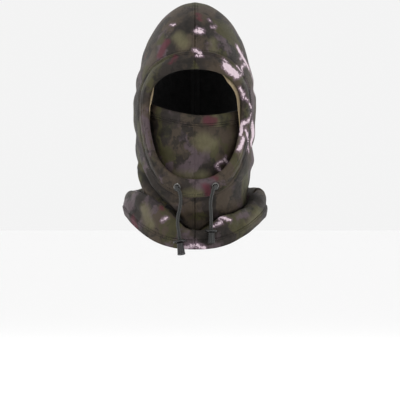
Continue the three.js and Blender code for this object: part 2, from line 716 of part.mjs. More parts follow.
function capeSheet(side, stops, outer, inner) {
  const sign = signOf[side];
  const rows = stops.length - 1;
  const ringAt = (v) => {
    const k = THREE.MathUtils.clamp(Math.floor(v * rows + 1e-9), 0, rows - 1);
    return mix(stops[k], stops[k + 1], v * rows - k);
  };
  return sheet({
    columns: CAPE_COLUMNS,
    rows,
    outer: sign * outer,
    inner: sign * inner,
    mirrored: side === 'left',
    place: (u, v) => capePoint(sign * u * Math.PI, ringAt(v)),
    trim: (p, u) => {
      if (u === 0 || u === 1) p.x = sign * GAP / 2;
      return p;
    },
  });
}

function addCape() {
  for (const side of SIDES) {
    const panel = capeSheet(side, CAPE_PANEL_STOPS, 0, -SHELL_CLOTH);
    const hem = capeSheet(side, CAPE_HEM_STOPS, 0, -CAPE_HEM_CLOTH);
    const lining = capeSheet(side, CAPE_LINING_STOPS, LINING_OUT, LINING_IN);
    addNode(`cape_panel_${side}`, toGeometry(panel), 'shell');
    addNode(`cape_hem_${side}`, toGeometry(hem), 'shell');
    addNode(`cape_lining_${side}`, toGeometry(lining), 'lining');
  }
}

// A blank care label, sewn to the lining at the nape by its top edge.
function addLabel() {
  const lowest = LABEL_TOP_Z - LABEL_HEIGHT;
  const [, wide, , back] = station(shareAtZ(lowest));
  const sideShare = LABEL_WIDTH / 2 / (wide * HOOD_WIDTH / 2);
  const reach = back * HOOD_BACK * Math.sqrt(1 - sideShare ** 2) + LINING_IN - 2 * GAP;
  const label = new THREE.BoxGeometry(LABEL_WIDTH, LABEL_THICKNESS, LABEL_HEIGHT);
  label.translate(0, reach - LABEL_THICKNESS / 2, LABEL_TOP_Z - LABEL_HEIGHT / 2);
  addNode('nape_label', label, 'label');
}

addHood();
addLabel();
addFaceBand();
addDrawcord();
addTails();
addMask();
addCape();

export default part;
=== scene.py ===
import math

import bmesh
import bpy
import numpy as np
from mathutils import Matrix, Vector


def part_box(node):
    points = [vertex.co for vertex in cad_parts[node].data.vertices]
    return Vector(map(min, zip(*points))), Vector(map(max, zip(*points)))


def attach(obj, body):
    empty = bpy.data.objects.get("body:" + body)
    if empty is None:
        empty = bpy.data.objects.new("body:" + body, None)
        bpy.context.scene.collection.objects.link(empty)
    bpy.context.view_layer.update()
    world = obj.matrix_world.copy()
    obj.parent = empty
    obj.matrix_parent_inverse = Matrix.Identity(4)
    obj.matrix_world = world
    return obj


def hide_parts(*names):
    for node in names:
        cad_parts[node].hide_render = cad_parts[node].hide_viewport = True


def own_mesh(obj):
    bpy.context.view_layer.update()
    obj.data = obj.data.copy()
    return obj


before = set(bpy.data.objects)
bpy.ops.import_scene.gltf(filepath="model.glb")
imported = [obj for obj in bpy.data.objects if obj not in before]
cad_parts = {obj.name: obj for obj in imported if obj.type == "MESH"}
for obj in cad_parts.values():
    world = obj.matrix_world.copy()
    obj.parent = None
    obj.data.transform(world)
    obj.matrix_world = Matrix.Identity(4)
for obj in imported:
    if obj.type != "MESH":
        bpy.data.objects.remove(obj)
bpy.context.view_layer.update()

MM = 0.001


def cad_box_mm(node):
    low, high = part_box(node)
    return np.array(low) / MM, np.array(high) / MM


# ---- Driving sizes, in millimetres, from the frame ---------------------------------

shell_low, shell_high = cad_box_mm("hood_panel_right")
band_low, band_high = cad_box_mm("face_band_right")
panel_low, _ = cad_box_mm("mask_panel_right")

HALF_WIDTH = shell_high[0]
REACH_BACK = shell_high[1]
REACH_FRONT = 101.0
APEX_Z = shell_high[2]
THROAT_Z = shell_low[2]
NECK_SIDE_Z = -265.0
NAPE_Z = -262.0

BAND_HEIGHT = 23.5
BAND_SIDE = 11.5
OPENING_HALF = band_high[0] - BAND_SIDE
OPENING_TOP_Z = band_high[2] - BAND_HEIGHT
OPENING_BOTTOM_Z = band_low[2] + BAND_HEIGHT
OPENING_WIDEST_Z = -137.6
ROUNDNESS = 2.4

SHELL_CLOTH = 1.0
BAND_THICKNESS = 0.7
FACING_THICKNESS = 0.5
CAPE_THICKNESS = 1.2
LINING_CLOTH = 0.8
LAYER_GAP = 0.3
STITCH_PITCH = 3.2
STITCH_LENGTH = 2.5
STITCH_RADIUS = 0.3

# Share of the hood's height, then half-width, front and back as shares of full size.
STATIONS = np.array([
    [0, 0, 0, 0],
    [0.012, 0.207, 0.235, 0.255],
    [0.042, 0.4, 0.455, 0.5],
    [0.084, 0.565, 0.63, 0.69],
    [0.14, 0.705, 0.765, 0.815],
    [0.198, 0.81, 0.87, 0.905],
    [0.314, 0.93, 0.975, 0.985],
    [0.385, 0.978, 1, 1],
    [0.46, 1, 0.995, 0.975],
    [0.532, 0.98, 0.99, 0.92],
    [0.622, 0.955, 1, 0.835],
    [0.703, 0.935, 1, 0.77],
    [0.781, 0.865, 0.965, 0.735],
    [0.861, 0.83, 0.9, 0.735],
    [1, 0.825, 0.795, 0.745],
])
CROWN_RIDGE = 1.3
RIDGE_END = 0.4
FRONT_FULLNESS = 0.8


# ---- Camera, floor and lights -------------------------------------------------------

CAMERA_DISTANCE = 6.0
CAMERA_X = 0.0066
CAMERA_Z = -0.258
FRAME_WIDTH = 0.53
SENSOR_WIDTH = 36
FLOOR_Z = -0.5


def make_camera():
    camera = bpy.data.objects.new("camera", bpy.data.cameras.new("camera"))
    bpy.context.collection.objects.link(camera)
    camera.data.sensor_width = SENSOR_WIDTH
    camera.data.lens = SENSOR_WIDTH * CAMERA_DISTANCE / FRAME_WIDTH
    camera.location = (CAMERA_X, -CAMERA_DISTANCE, CAMERA_Z)
    camera.rotation_euler = (math.pi / 2, 0, 0)
    bpy.context.scene.camera = camera


def area_light(name, place, target, size, power, colour=(1, 1, 1)):
    light = bpy.data.objects.new(name, bpy.data.lights.new(name, "AREA"))
    bpy.context.collection.objects.link(light)
    light.data.size = size
    light.data.energy = power
    light.data.color = colour
    light.location = place
    light.rotation_mode = "QUATERNION"
    light.rotation_quaternion = (Vector(target) - Vector(place)).to_track_quat("-Z", "Y")


def make_stage():
    bpy.context.scene.view_settings.view_transform = "Standard"
    bpy.ops.object.select_all(action="DESELECT")
    bpy.ops.mesh.primitive_plane_add(size=60, location=(0, 0, FLOOR_Z))
    floor = bpy.context.object
    floor.name = "floor"
    paint = bpy.data.materials.new("floor_white")
    paint.use_nodes = True
    shader = paint.node_tree.nodes["Principled BSDF"]
    shader.inputs["Base Color"].default_value = (0.9, 0.9, 0.9, 1)
    shader.inputs["Roughness"].default_value = 0.9
    shader.inputs["Emission Color"].default_value = (1, 1, 1, 1)
    shader.inputs["Emission Strength"].default_value = 0.12
    floor.data.materials.append(paint)
    world = bpy.data.worlds.new("studio")
    bpy.context.scene.world = world
    world.use_nodes = True
    background = world.node_tree.nodes["Background"]
    background.inputs["Color"].default_value = (1, 1, 1, 1)
    background.inputs["Strength"].default_value = 0.9
    middle = (0, 0, -0.16)
    area_light("key", (-0.8, -1.5, 1.1), middle, 0.7, 9)
    area_light("fill", (1.3, -1.4, 0.2), middle, 0.9, 2.5)
    area_light("rim_left", (-1.3, 0.7, 0.5), middle, 0.7, 5)
    area_light("rim_right", (1.3, 0.7, 0.4), middle, 0.7, 5)


make_camera()
make_stage()


# ---- Mesh helpers -------------------------------------------------------------------

def new_piece(name, points, faces, uv=None, smooth=True):
    """points in millimetres, n by 3; faces as lists of indices."""
    mesh = bpy.data.meshes.new(name)
    mesh.from_pydata((np.asarray(points) * MM).tolist(), [], [list(map(int, f)) for f in faces])
    mesh.validate()
    if smooth:
        mesh.shade_smooth()
    piece = bpy.data.objects.new(name, mesh)
    bpy.context.collection.objects.link(piece)
    if uv is not None:
        layer = mesh.uv_layers.new(name="UVMap")
        loops = np.zeros(len(mesh.loops), np.int32)
        mesh.loops.foreach_get("vertex_index", loops)
        layer.data.foreach_set("uv", np.asarray(uv, np.float32)[loops].ravel())
    return piece


def grid_faces(rows, columns, wrap=False, flip=False):
    across = columns if wrap else columns - 1
    j, i = np.meshgrid(np.arange(rows - 1), np.arange(across), indexing="ij")
    a = j * columns + i
    b = j * columns + (i + 1) % columns
    c = (j + 1) * columns + (i + 1) % columns
    d = (j + 1) * columns + i
    order = (a, b, c, d) if flip else (a, d, c, b)
    return np.stack(order, axis=-1).reshape(-1, 4)


def surface_normals(points, flip=False, wrap=False):
    """Normals of a rows by columns by 3 grid of points."""
    down = np.gradient(points, axis=0)
    if wrap:
        padded = np.concatenate([points[:, -1:], points, points[:, :1]], axis=1)
        across = np.gradient(padded, axis=1)[:, 1:-1]
    else:
        across = np.gradient(points, axis=1)
    normal = np.cross(down, across)
    length = np.linalg.norm(normal, axis=2, keepdims=True)
    normal = normal / np.maximum(length, 1e-9)
    return -normal if flip else normal


def apply_modifiers(piece):
    bpy.ops.object.select_all(action="DESELECT")
    bpy.context.view_layer.objects.active = piece
    piece.select_set(True)
    for modifier in list(piece.modifiers):
        bpy.ops.object.modifier_apply(modifier=modifier.name)


def thicken(piece, thickness, offset=-1.0):
    modifier = piece.modifiers.new("cloth", "SOLIDIFY")
    modifier.thickness = thickness * MM
    modifier.offset = offset
    modifier.use_quality_normals = True
    apply_modifiers(piece)


def set_field(piece, name, values):
    """A number at each point, which a material reads as an attribute."""
    attribute = piece.data.attributes.new(name, "FLOAT", "POINT")
    attribute.data.foreach_set("value", np.asarray(values, np.float32))


def points_of(piece):
    co = np.zeros(len(piece.data.vertices) * 3, np.float32)
    piece.data.vertices.foreach_get("co", co)
    return co.reshape(-1, 3).astype(float) / MM


def smoothstep(x, low, high):
    t = np.clip((np.asarray(x, float) - low) / (high - low), 0, 1)
    return t * t * (3 - 2 * t)


def mix(a, b, t):
    return a + (b - a) * t


def unit(vector):
    return vector / np.linalg.norm(vector)


def length_along(path):
    """The distance from the start of a path to each of its points."""
    return np.concatenate([[0], np.cumsum(np.linalg.norm(np.diff(path, axis=0), axis=1))])


def signed_power(value, power):
    return np.sign(value) * np.abs(value) ** power


def wave_noise(points, scale, seed, octaves=3):
    """A smooth field between about -1 and 1: sums of plane waves in seeded directions."""
    draw = np.random.default_rng(seed)
    total = np.zeros(points.shape[:-1])
    size = 1.0
    for octave in range(octaves):
        directions = draw.normal(size=(7, 3))
        directions /= np.linalg.norm(directions, axis=1, keepdims=True)
        phases = draw.uniform(0, 2 * math.pi, 7)
        frequency = 2 * math.pi / scale * 1.9 ** octave
        for direction, phase in zip(directions, phases):
            total += size * np.sin(points @ direction * frequency + phase) / 3.2
        size *= 0.5
    return total


# ---- The hood's surface ---------------------------------------------------------------

def catmull_rom(a, b, c, d, t):
    bend = (3 * (b - c) + d - a) * t ** 3 + (2 * a - 5 * b + 4 * c - d) * t ** 2 + (c - a) * t
    return b + bend / 2


def spline_rows(rows, at):
    """Catmull-Rom through evenly spaced rows, at positions from 0 to the last row."""
    last = len(rows) - 1
    at = np.clip(at, 0, last)
    k = np.minimum(np.floor(at).astype(int), last - 1)
    t = (at - k)[..., None]
    return catmull_rom(*(rows[np.clip(k + n, 0, last)] for n in (-1, 0, 1, 2)), t)


SHARES = np.linspace(0, 1, 2001)
TABLE = spline_rows(STATIONS, SHARES * (len(STATIONS) - 1))
TABLE_Z = mix(APEX_Z, THROAT_Z, TABLE[:, 0])


def share_at(z):
    return np.interp(-np.asarray(z, float), -TABLE_Z, SHARES)


def hood_base(angle, share):
    """The hood's plain surface: angle 0 is the front, pi the back; share runs down."""
    drop, wide, front, back = np.moveaxis(spline_rows(STATIONS, share * (len(STATIONS) - 1)), -1, 0)
    ridge = mix(CROWN_RIDGE, 1, smoothstep(drop, 0, RIDGE_END))
    cosine = np.cos(angle)
    ahead = front * REACH_FRONT * np.maximum(cosine, 0) ** FRONT_FULLNESS
    behind = back * REACH_BACK * np.minimum(cosine, 0)
    x = wide * HALF_WIDTH * signed_power(np.sin(angle), ridge)
    return np.stack([x, -ahead - behind, mix(APEX_Z, THROAT_Z, drop)], axis=-1)


def hood_normal(angle, share):
    step = 1e-3
    across = hood_base(angle + step, share) - hood_base(angle - step, share)
    down = hood_base(angle, np.minimum(share + step, 1)) - hood_base(angle, np.maximum(share - step, 0))
    normal = np.cross(down, across)
    length = np.linalg.norm(normal, axis=-1, keepdims=True)
    return np.where(length > 1e-9, normal / np.maximum(length, 1e-9), [0, 0, 1.0])


def angle_on_front(x, z):
    share = share_at(z)
    drop, wide = (np.interp(share, SHARES, TABLE[:, c]) for c in (0, 1))
    ridge = mix(CROWN_RIDGE, 1, smoothstep(drop, 0, RIDGE_END))
    return np.arcsin(signed_power(np.clip(x / (wide * HALF_WIDTH), -1, 1), 1 / ridge)), share


# Soft folds in the hood: a line of (angle in degrees, z), its depth and its width in
# millimetres. Angles are positive on the side of +X. A negative depth is a raised fold.
FOLDS = [
    ([(-58, -99), (-90, -114), (-126, -120)], 1.5, 7),
    ([(-66, -160), (-90, -173), (-128, -184)], 1.7, 8),
    ([(-74, -204), (-110, -214)], 1.0, 8),
    ([(66, -176), (90, -190), (126, -194)], 2.1, 8),
    ([(66, -118), (92, -110), (118, -98)], 1.4, 6),
    ([(62, -226), (112, -214)], 1.8, 8),
    ([(-73, -214), (-66, -225), (-56, -243), (-41, -260), (-28, -274), (-18, -286)], 8.0, 4.5),
    ([(-80, -216), (-74, -232), (-64, -254)], -4.5, 6),
    ([(24, -264), (50, -246), (84, -222)], 1.6, 6),
    ([(-4, -262), (8, -261), (20, -258)], 1.2, 2.2),
    ([(-6, -268), (8, -268), (22, -264)], 1.4, 2.4),
    ([(-46, -58), (-104, -92)], 1.2, 8),
    ([(20, -30), (70, -66)], 1.0, 9),
    ([(140, -180), (200, -200)], 2.4, 8),
    ([(135, -214), (176, -226), (215, -226)], 3.0, 8),
    ([(150, -236), (190, -248), (228, -246)], 2.4, 7),
    ([(128, -140), (172, -160)], 1.4, 10),
    ([(-172, -120), (-130, -150)], 1.4, 10),
]


def segment_distance(u, v, a, b):
    """Distance to a segment, and the share of the way along it."""
    du, dv = b[0] - a[0], b[1] - a[1]
    t = ((u - a[0]) * du + (v - a[1]) * dv) / (du * du + dv * dv)
    inside = np.clip(t, 0, 1)
    return np.hypot(u - a[0] - inside * du, v - a[1] - inside * dv), inside


def line_distance(u, v, line):
    """Distance to a line of points, and the share of the way along it."""
    lengths = [math.dist(a, b) for a, b in zip(line[:-1], line[1:])]
    distance = np.full(np.shape(u), 1e6)
    along = np.zeros(np.shape(u))
    start = 0.0
    for a, b, length in zip(line[:-1], line[1:], lengths):
        near, inside = segment_distance(u, v, a, b)
        closer = near < distance
        distance = np.where(closer, near, distance)
        along = np.where(closer, (start + inside * length) / sum(lengths), along)
        start += length
    return distance, along


def fold_relief(u, v, line, depth, width):
    """A soft valley along a line, with the cloth it takes up standing beside it."""
    distance, along = line_distance(u, v, line)
    taper = np.sin(math.pi * np.clip(along, 0.05, 0.95)) ** 0.6
    valley = np.exp(-(distance / width) ** 2)
    beside = 0.45 * np.exp(-((distance - 2 * width) / (1.1 * width)) ** 2)
    return depth * taper * (beside - valley)


THROAT_SINK = 6.0
FOLD_RADIUS = 82.0  # turns a fold's angle into millimetres round the hood


def folds_relief(folds, angle, level, radius):
    """The relief of folds given as lines of (angle in degrees, level), all the way round."""
    relief = np.zeros(np.shape(angle))
    for line, depth, width in folds:
        for turn in (-360, 0, 360):
            placed = [(math.radians(degrees + turn) * radius, height) for degrees, height in line]
            relief += fold_relief(angle * radius, level, placed, depth, width)
    return relief


def beneath_chin(angle):
    return smoothstep(np.cos(angle), 0.72, 0.92)


def hood_relief(angle, base):
    """How far the cloth stands out from the plain surface."""
    z = base[..., 2]
    relief = 0.6 * wave_noise(base * [1, 1, 0.7], 95, 11)
    relief += 0.15 * wave_noise(base * [1, 1, 1.3], 36, 12)
    relief -= THROAT_SINK * smoothstep(-z, 268, 288) * beneath_chin(angle)
    relief += folds_relief(FOLDS, angle, z, FOLD_RADIUS)
    return relief * smoothstep(-z, -APEX_Z, 30)


TOPSTITCH_OFFSET = 3.4


def seam_relief(across, along):
    """The ditch, the pucker and the two topstitched grooves beside a centre seam."""
    away = np.abs(across)
    relief = -1.2 * np.exp(-(away / 0.9) ** 2)
    relief -= 0.35 * np.exp(-((away - TOPSTITCH_OFFSET) / 0.7) ** 2)
    pucker = np.sin(along / 4.1) * np.sin(along / 6.3 + 1)
    return relief + 0.3 * pucker * np.exp(-((away - 4) / 4) ** 2) + 0.5 * np.exp(-((away - 2) / 2.2) ** 2)


def hood_surface(angle, share, offset=0.0):
    base = hood_base(angle, share)
    normal = hood_normal(angle, share)
    relief = hood_relief(angle, base)
    return base + normal * (relief + offset)[..., None], normal


def lower_edge_z(angle):
    middle = np.where(np.cos(angle) > 0, THROAT_Z, NAPE_Z)
    return mix(middle, NECK_SIDE_Z, np.abs(np.sin(angle)) ** 0.8)


# ---- The face opening's outline ----------------------------------------------------------

def egg_reach(upper, grow_ends, grow_sides):
    """The outline's half-width, and its height above or below its widest level."""
    up = OPENING_TOP_Z - OPENING_WIDEST_Z + grow_ends
    down = OPENING_WIDEST_Z - OPENING_BOTTOM_Z + grow_ends
    return OPENING_HALF + grow_sides, np.where(upper, up, down)


def egg(theta, grow_ends, grow_sides):
    """A point of the outline seen from the front; theta 0 is its top and pi its bottom."""
    half, tall = egg_reach(np.cos(theta) > 0, grow_ends, grow_sides)
    power = 2 / ROUNDNESS
    x = half * signed_power(np.sin(theta), power)
    z = OPENING_WIDEST_Z + tall * signed_power(np.cos(theta), power)
    return x, z


def inside_egg(x, z, grow_ends, grow_sides):
    half, tall = egg_reach(z > OPENING_WIDEST_Z, grow_ends, grow_sides)
    return (np.abs(x) / half) ** ROUNDNESS + (np.abs(z - OPENING_WIDEST_Z) / tall) ** ROUNDNESS < 1


def even_thetas(count, start, end):
    """Angles whose outline points are evenly spaced along the middle of the band."""
    dense = np.linspace(start, end, 4001)
    x, z = egg(dense, BAND_HEIGHT / 2, BAND_SIDE / 2)
    along = length_along(np.stack([x, z], axis=1))
    return np.interp(np.linspace(0, along[-1], count), along, dense)


# ---- Camouflage print ---------------------------------------------------------------------

# Bright torn splashes and wine-red patches seen from the front: points of a line as (x, z),
# and the half-width of the stroke. Each belongs to one layer of cloth.
FACE_SPLASHES = [
    ([(3, -37), (7, -38)], 4.2),
    ([(3, -33), (11, -35)], 1.4),
    ([(-31, -28), (-27, -28.5)], 1.0),
    ([(18, -21), (21, -24)], 0.3),
    ([(22, -31), (25, -32), (27, -30)], 0.9),
    ([(0, -62.5), (6, -66)], 2.7),
    ([(2, -70), (9, -70)], 1.2),
    ([(55, -58), (63, -70), (71, -83)], 3.6),
    ([(63, -66), (60, -72)], 1.4),
    ([(72, -78), (76, -98)], 2.4),
    ([(41, -83), (47, -89), (54, -94)], 5.6),
    ([(37.5, -74.5), (42, -78)], 1.3),
    ([(55, -83), (62, -92), (62, -84), (67, -79)], 2.0),
    ([(53, -98), (61, -93)], 1.8),
    ([(59.5, -112), (63, -118), (63.5, -124)], 1.7),
    ([(66, -125), (68.5, -127)], 1.4),
    ([(72, -132), (74, -136)], 2.2),
    ([(77, -101), (78.5, -117)], 2.4),
    ([(64, -157), (70, -154), (74, -146)], 2.2),
    ([(75, -160), (77, -174), (74, -182)], 6.5),
    ([(61, -158), (60, -172)], 2.4),
    ([(66, -166), (68, -172), (70, -180)], 2.4),
    ([(57.5, -192), (62, -184), (63, -178)], 2.6),
    ([(70, -186), (71, -194)], 1.6),
]
SPLASHES = {
    "hood": FACE_SPLASHES,
    "band": FACE_SPLASHES,
    "mask": [
        ([(40, -201), (40, -207), (32, -208), (28, -213), (33.4, -221)], 1.3),
        ([(38, -205), (42, -209)], 2.2),
    ],
    "cape": [
        ([(26, -277), (33, -281), (45, -284)], 2.2),
        ([(30, -280), (34, -287), (24, -292)], 1.6),
        ([(-42, -285), (-37, -281)], 1.7),
        ([(-13, -320), (0, -317), (12, -320)], 2.4),
    ],
}
WINE = {
    "hood": [
        ([(-46, -68), (-38, -52)], 6.5),
        ([(3, -14), (6, -22)], 3.5),
    ],
    "band": [
        ([(-32, -80), (-26, -72)], 3.0),
        ([(22, -226), (28, -230)], 3.2),
        ([(14, -240), (18, -250)], 5.0),
    ],
    "mask": [
        ([(16, -154), (26, -155)], 6.0),
    ],
    "cape": [
        ([(-82, -284), (-76, -292)], 6.5),
        ([(-44, -268), (-42, -270)], 2.6),
        ([(56, -252), (58, -262)], 3.5),
    ],
}
PALE_OLIVE = {
    "hood": [([(-22, -44), (-16, -54)], 7), ([(24, -50), (24, -62)], 4)],
    "band": [([(-10, -250), (6, -250)], 6), ([(62, -176), (60, -200)], 3)],
    "mask": [([(10, -182), (22, -186)], 11), ([(-24, -226), (10, -228)], 6), ([(26, -148), (30, -160)], 4)],
    "cape": [([(-66, -270), (-58, -290)], 7), ([(32, -250), (22, -276)], 5), ([(70, -290), (84, -276)], 4)],
}
# Lines of deep creases along which the cloth is darkened towards near black: painted shade standing in for
# the shadow in the folds.
SHADED_CREASES = {
    "hood": [
        ([(-75, -217), (-64, -231), (-50, -247.5), (-36, -262.5), (-22, -276)], 2.6),
        ([(-6, -258), (8, -257.5), (17, -255.5)], 0.4),
    ],
}
FAR_AWAY = 60.0


def segment_distance_3d(points, a, b):
    way = b - a
    t = np.clip(((points - a) @ way) / max(way @ way, 1e-9), 0, 1)
    return np.linalg.norm(points - a - t[:, None] * way, axis=1)


def stroke_field(points, cloud, strokes):
    """How far inside the nearest stroke each point lies, in millimetres; negative outside.
    cloud is the layer's whole front, onto which each stroke is laid."""
    field = np.full(len(points), -FAR_AWAY)
    for line, half_width in strokes:
        spots = []
        for x, z in line:
            near = np.hypot(cloud[:, 0] - x, cloud[:, 2] - z)
            best = np.argmin(near + 0.08 * cloud[:, 1])
            if near[best] < 3:
                spots.append(cloud[best])
        for a, b in zip(spots[:-1], spots[1:]):
            field = np.maximum(field, half_width - segment_distance_3d(points, a, b))
    return field


def scattered_field(points, seed, clusters, strokes, size):
    """Seeded clusters of short strokes over the sides and the back."""
    draw = np.random.default_rng(seed)
    field = np.full(len(points), -FAR_AWAY)
    low, high = points.min(0), points.max(0)
    for _ in range(clusters):
        aim = draw.uniform(low, high)
        centre = points[np.argmin(((points - aim) ** 2).sum(1))]
        lean = draw.normal(size=3) + [0, 0, 1.5]
        for _ in range(strokes):
            start = centre + draw.normal(size=3) * size * 1.6
            way = lean + draw.normal(size=3) * 0.7
            way *= draw.uniform(0.8, 3.0) * size / np.linalg.norm(way)
            half_width = draw.uniform(0.25, 0.9) * size
            if centre[1] > -28:
                field = np.maximum(field, half_width - segment_distance_3d(points, start - way, start + way))
    return field


def print_camouflage(pieces, layer, seed):
    clouds = [points_of(piece) for piece in pieces]
    cloud = np.concatenate(clouds)
    cloud = cloud[cloud[:, 1] < -5]
    for number, (piece, points) in enumerate(zip(pieces, clouds)):
        start = seed + 10 * number
        splash = np.maximum(
            stroke_field(points, cloud, SPLASHES[layer]),
            scattered_field(points, start, 7, 5, 3.6),
        )
        wine = np.maximum(
            stroke_field(points, cloud, WINE[layer]),
            scattered_field(points, start + 1, 6, 2, 8.0),
        )
        olive = np.maximum(
            stroke_field(points, cloud, PALE_OLIVE[layer]),
            scattered_field(points, start + 2, 6, 2, 11.0),
        )
        crease = stroke_field(points, cloud, SHADED_CREASES.get(layer, []))
        # painted shade: darker cloth along the deep creases
        set_field(piece, "painted_shade", smoothstep(crease, -3, 1))
        set_field(piece, "splash", np.clip(splash, -12, 12))
        set_field(piece, "wine", np.clip(wine, -20, 20))
        set_field(piece, "pale_olive", np.clip(olive, -25, 25))


# ---- Material helpers -----------------------------------------------------------------------

class Graph:
    """Adds nodes to a material's or a group's tree in short calls."""

    def __init__(self, tree):
        self.tree = tree
        self.column = 0

    def node(self, kind, inputs=None, **settings):
        node = self.tree.nodes.new(kind)
        node.location = (self.column * 180, -60 * (self.column % 5))
        self.column += 1
        for key, value in settings.items():
            setattr(node, key, value)
        for key, value in (inputs or {}).items():
            self.feed(node.inputs[key], value)
        return node

    def feed(self, socket, value):
        if isinstance(value, bpy.types.NodeSocket):
            self.tree.links.new(value, socket)
        elif isinstance(value, tuple) and len(value) == 3 and socket.type == "RGBA":
            socket.default_value = (*value, 1)
        else:
            socket.default_value = value

    def math(self, operation, a, b=0.0, c=0.0, clamp=False):
        node = self.node("ShaderNodeMath", {0: a, 1: b, 2: c}, operation=operation, use_clamp=clamp)
        return node.outputs[0]

    def mix_colour(self, share, a, b):
        node = self.node("ShaderNodeMix", data_type="RGBA")
        self.feed(node.inputs[0], share)
        self.feed(node.inputs[6], a)
        self.feed(node.inputs[7], b)
        return node.outputs[2]

    def ramp(self, value, low, high, start=0.0, end=1.0):
        node = self.node(
            "ShaderNodeMapRange",
            {"Value": value, "From Min": low, "From Max": high, "To Min": start, "To Max": end},
            interpolation_type="SMOOTHSTEP",
        )
        return node.outputs["Result"]

    def noise(self, vector, scale, detail=3.0, roughness=0.5, distortion=0.0):
        return self.node(
            "ShaderNodeTexNoise",
            {"Vector": vector, "Scale": scale, "Detail": detail, "Roughness": roughness,
             "Distortion": distortion},
        ).outputs[0]

    def bump(self, shader, height, strength, distance):
        inputs = {"Height": height, "Strength": strength, "Distance": distance}
        self.feed(shader.inputs["Normal"], self.node("ShaderNodeBump", inputs).outputs[0])

    def vector(self, operation, inputs):
        return self.node("ShaderNodeVectorMath", inputs, operation=operation).outputs[0]

    def shaded(self, colour, tone):
        """A colour multiplied by a tone."""
        node = self.node("ShaderNodeMix", data_type="RGBA", blend_type="MULTIPLY")
        grey = self.node("ShaderNodeCombineColor", {0: tone, 1: tone, 2: tone}).outputs[0]
        self.feed(node.inputs[0], 1.0)
        self.feed(node.inputs[6], colour)
        self.feed(node.inputs[7], grey)
        return node.outputs[2]

    def field(self, name):
        return self.node("ShaderNodeAttribute", attribute_name=name).outputs["Fac"]

    def place(self):
        return self.node("ShaderNodeTexCoord").outputs["Object"]

    def scaled(self, vector, scale, offset=(0, 0, 0)):
        return self.node(
            "ShaderNodeMapping", {"Vector": vector, "Scale": scale, "Location": offset}
        ).outputs[0]


def new_group(name, inputs, outputs):
    """A shader node group with its named sockets: {name: (kind, value)} and {name: kind}."""
    tree = bpy.data.node_groups.new(name, "ShaderNodeTree")
    for label, (kind, value) in inputs.items():
        socket = tree.interface.new_socket(label, in_out="INPUT", socket_type=kind)
        if value is not None:
            socket.default_value = value
    for label, kind in outputs.items():
        tree.interface.new_socket(label, in_out="OUTPUT", socket_type=kind)
    graph = Graph(tree)
    return graph, graph.node("NodeGroupInput"), graph.node("NodeGroupOutput")


def new_material(name, **uniform):
    material = bpy.data.materials.new(name)
    material.use_nodes = True
    graph = Graph(material.node_tree)
    shader = material.node_tree.nodes["Principled BSDF"]
    for label, value in uniform.items():
        socket = shader.inputs[label.replace("_", " ")]
        socket.default_value = (*value, 1) if isinstance(value, tuple) else value
    return material, graph, shader


FLOAT, COLOUR, VECTOR = "NodeSocketFloat", "NodeSocketColor", "NodeSocketVector"


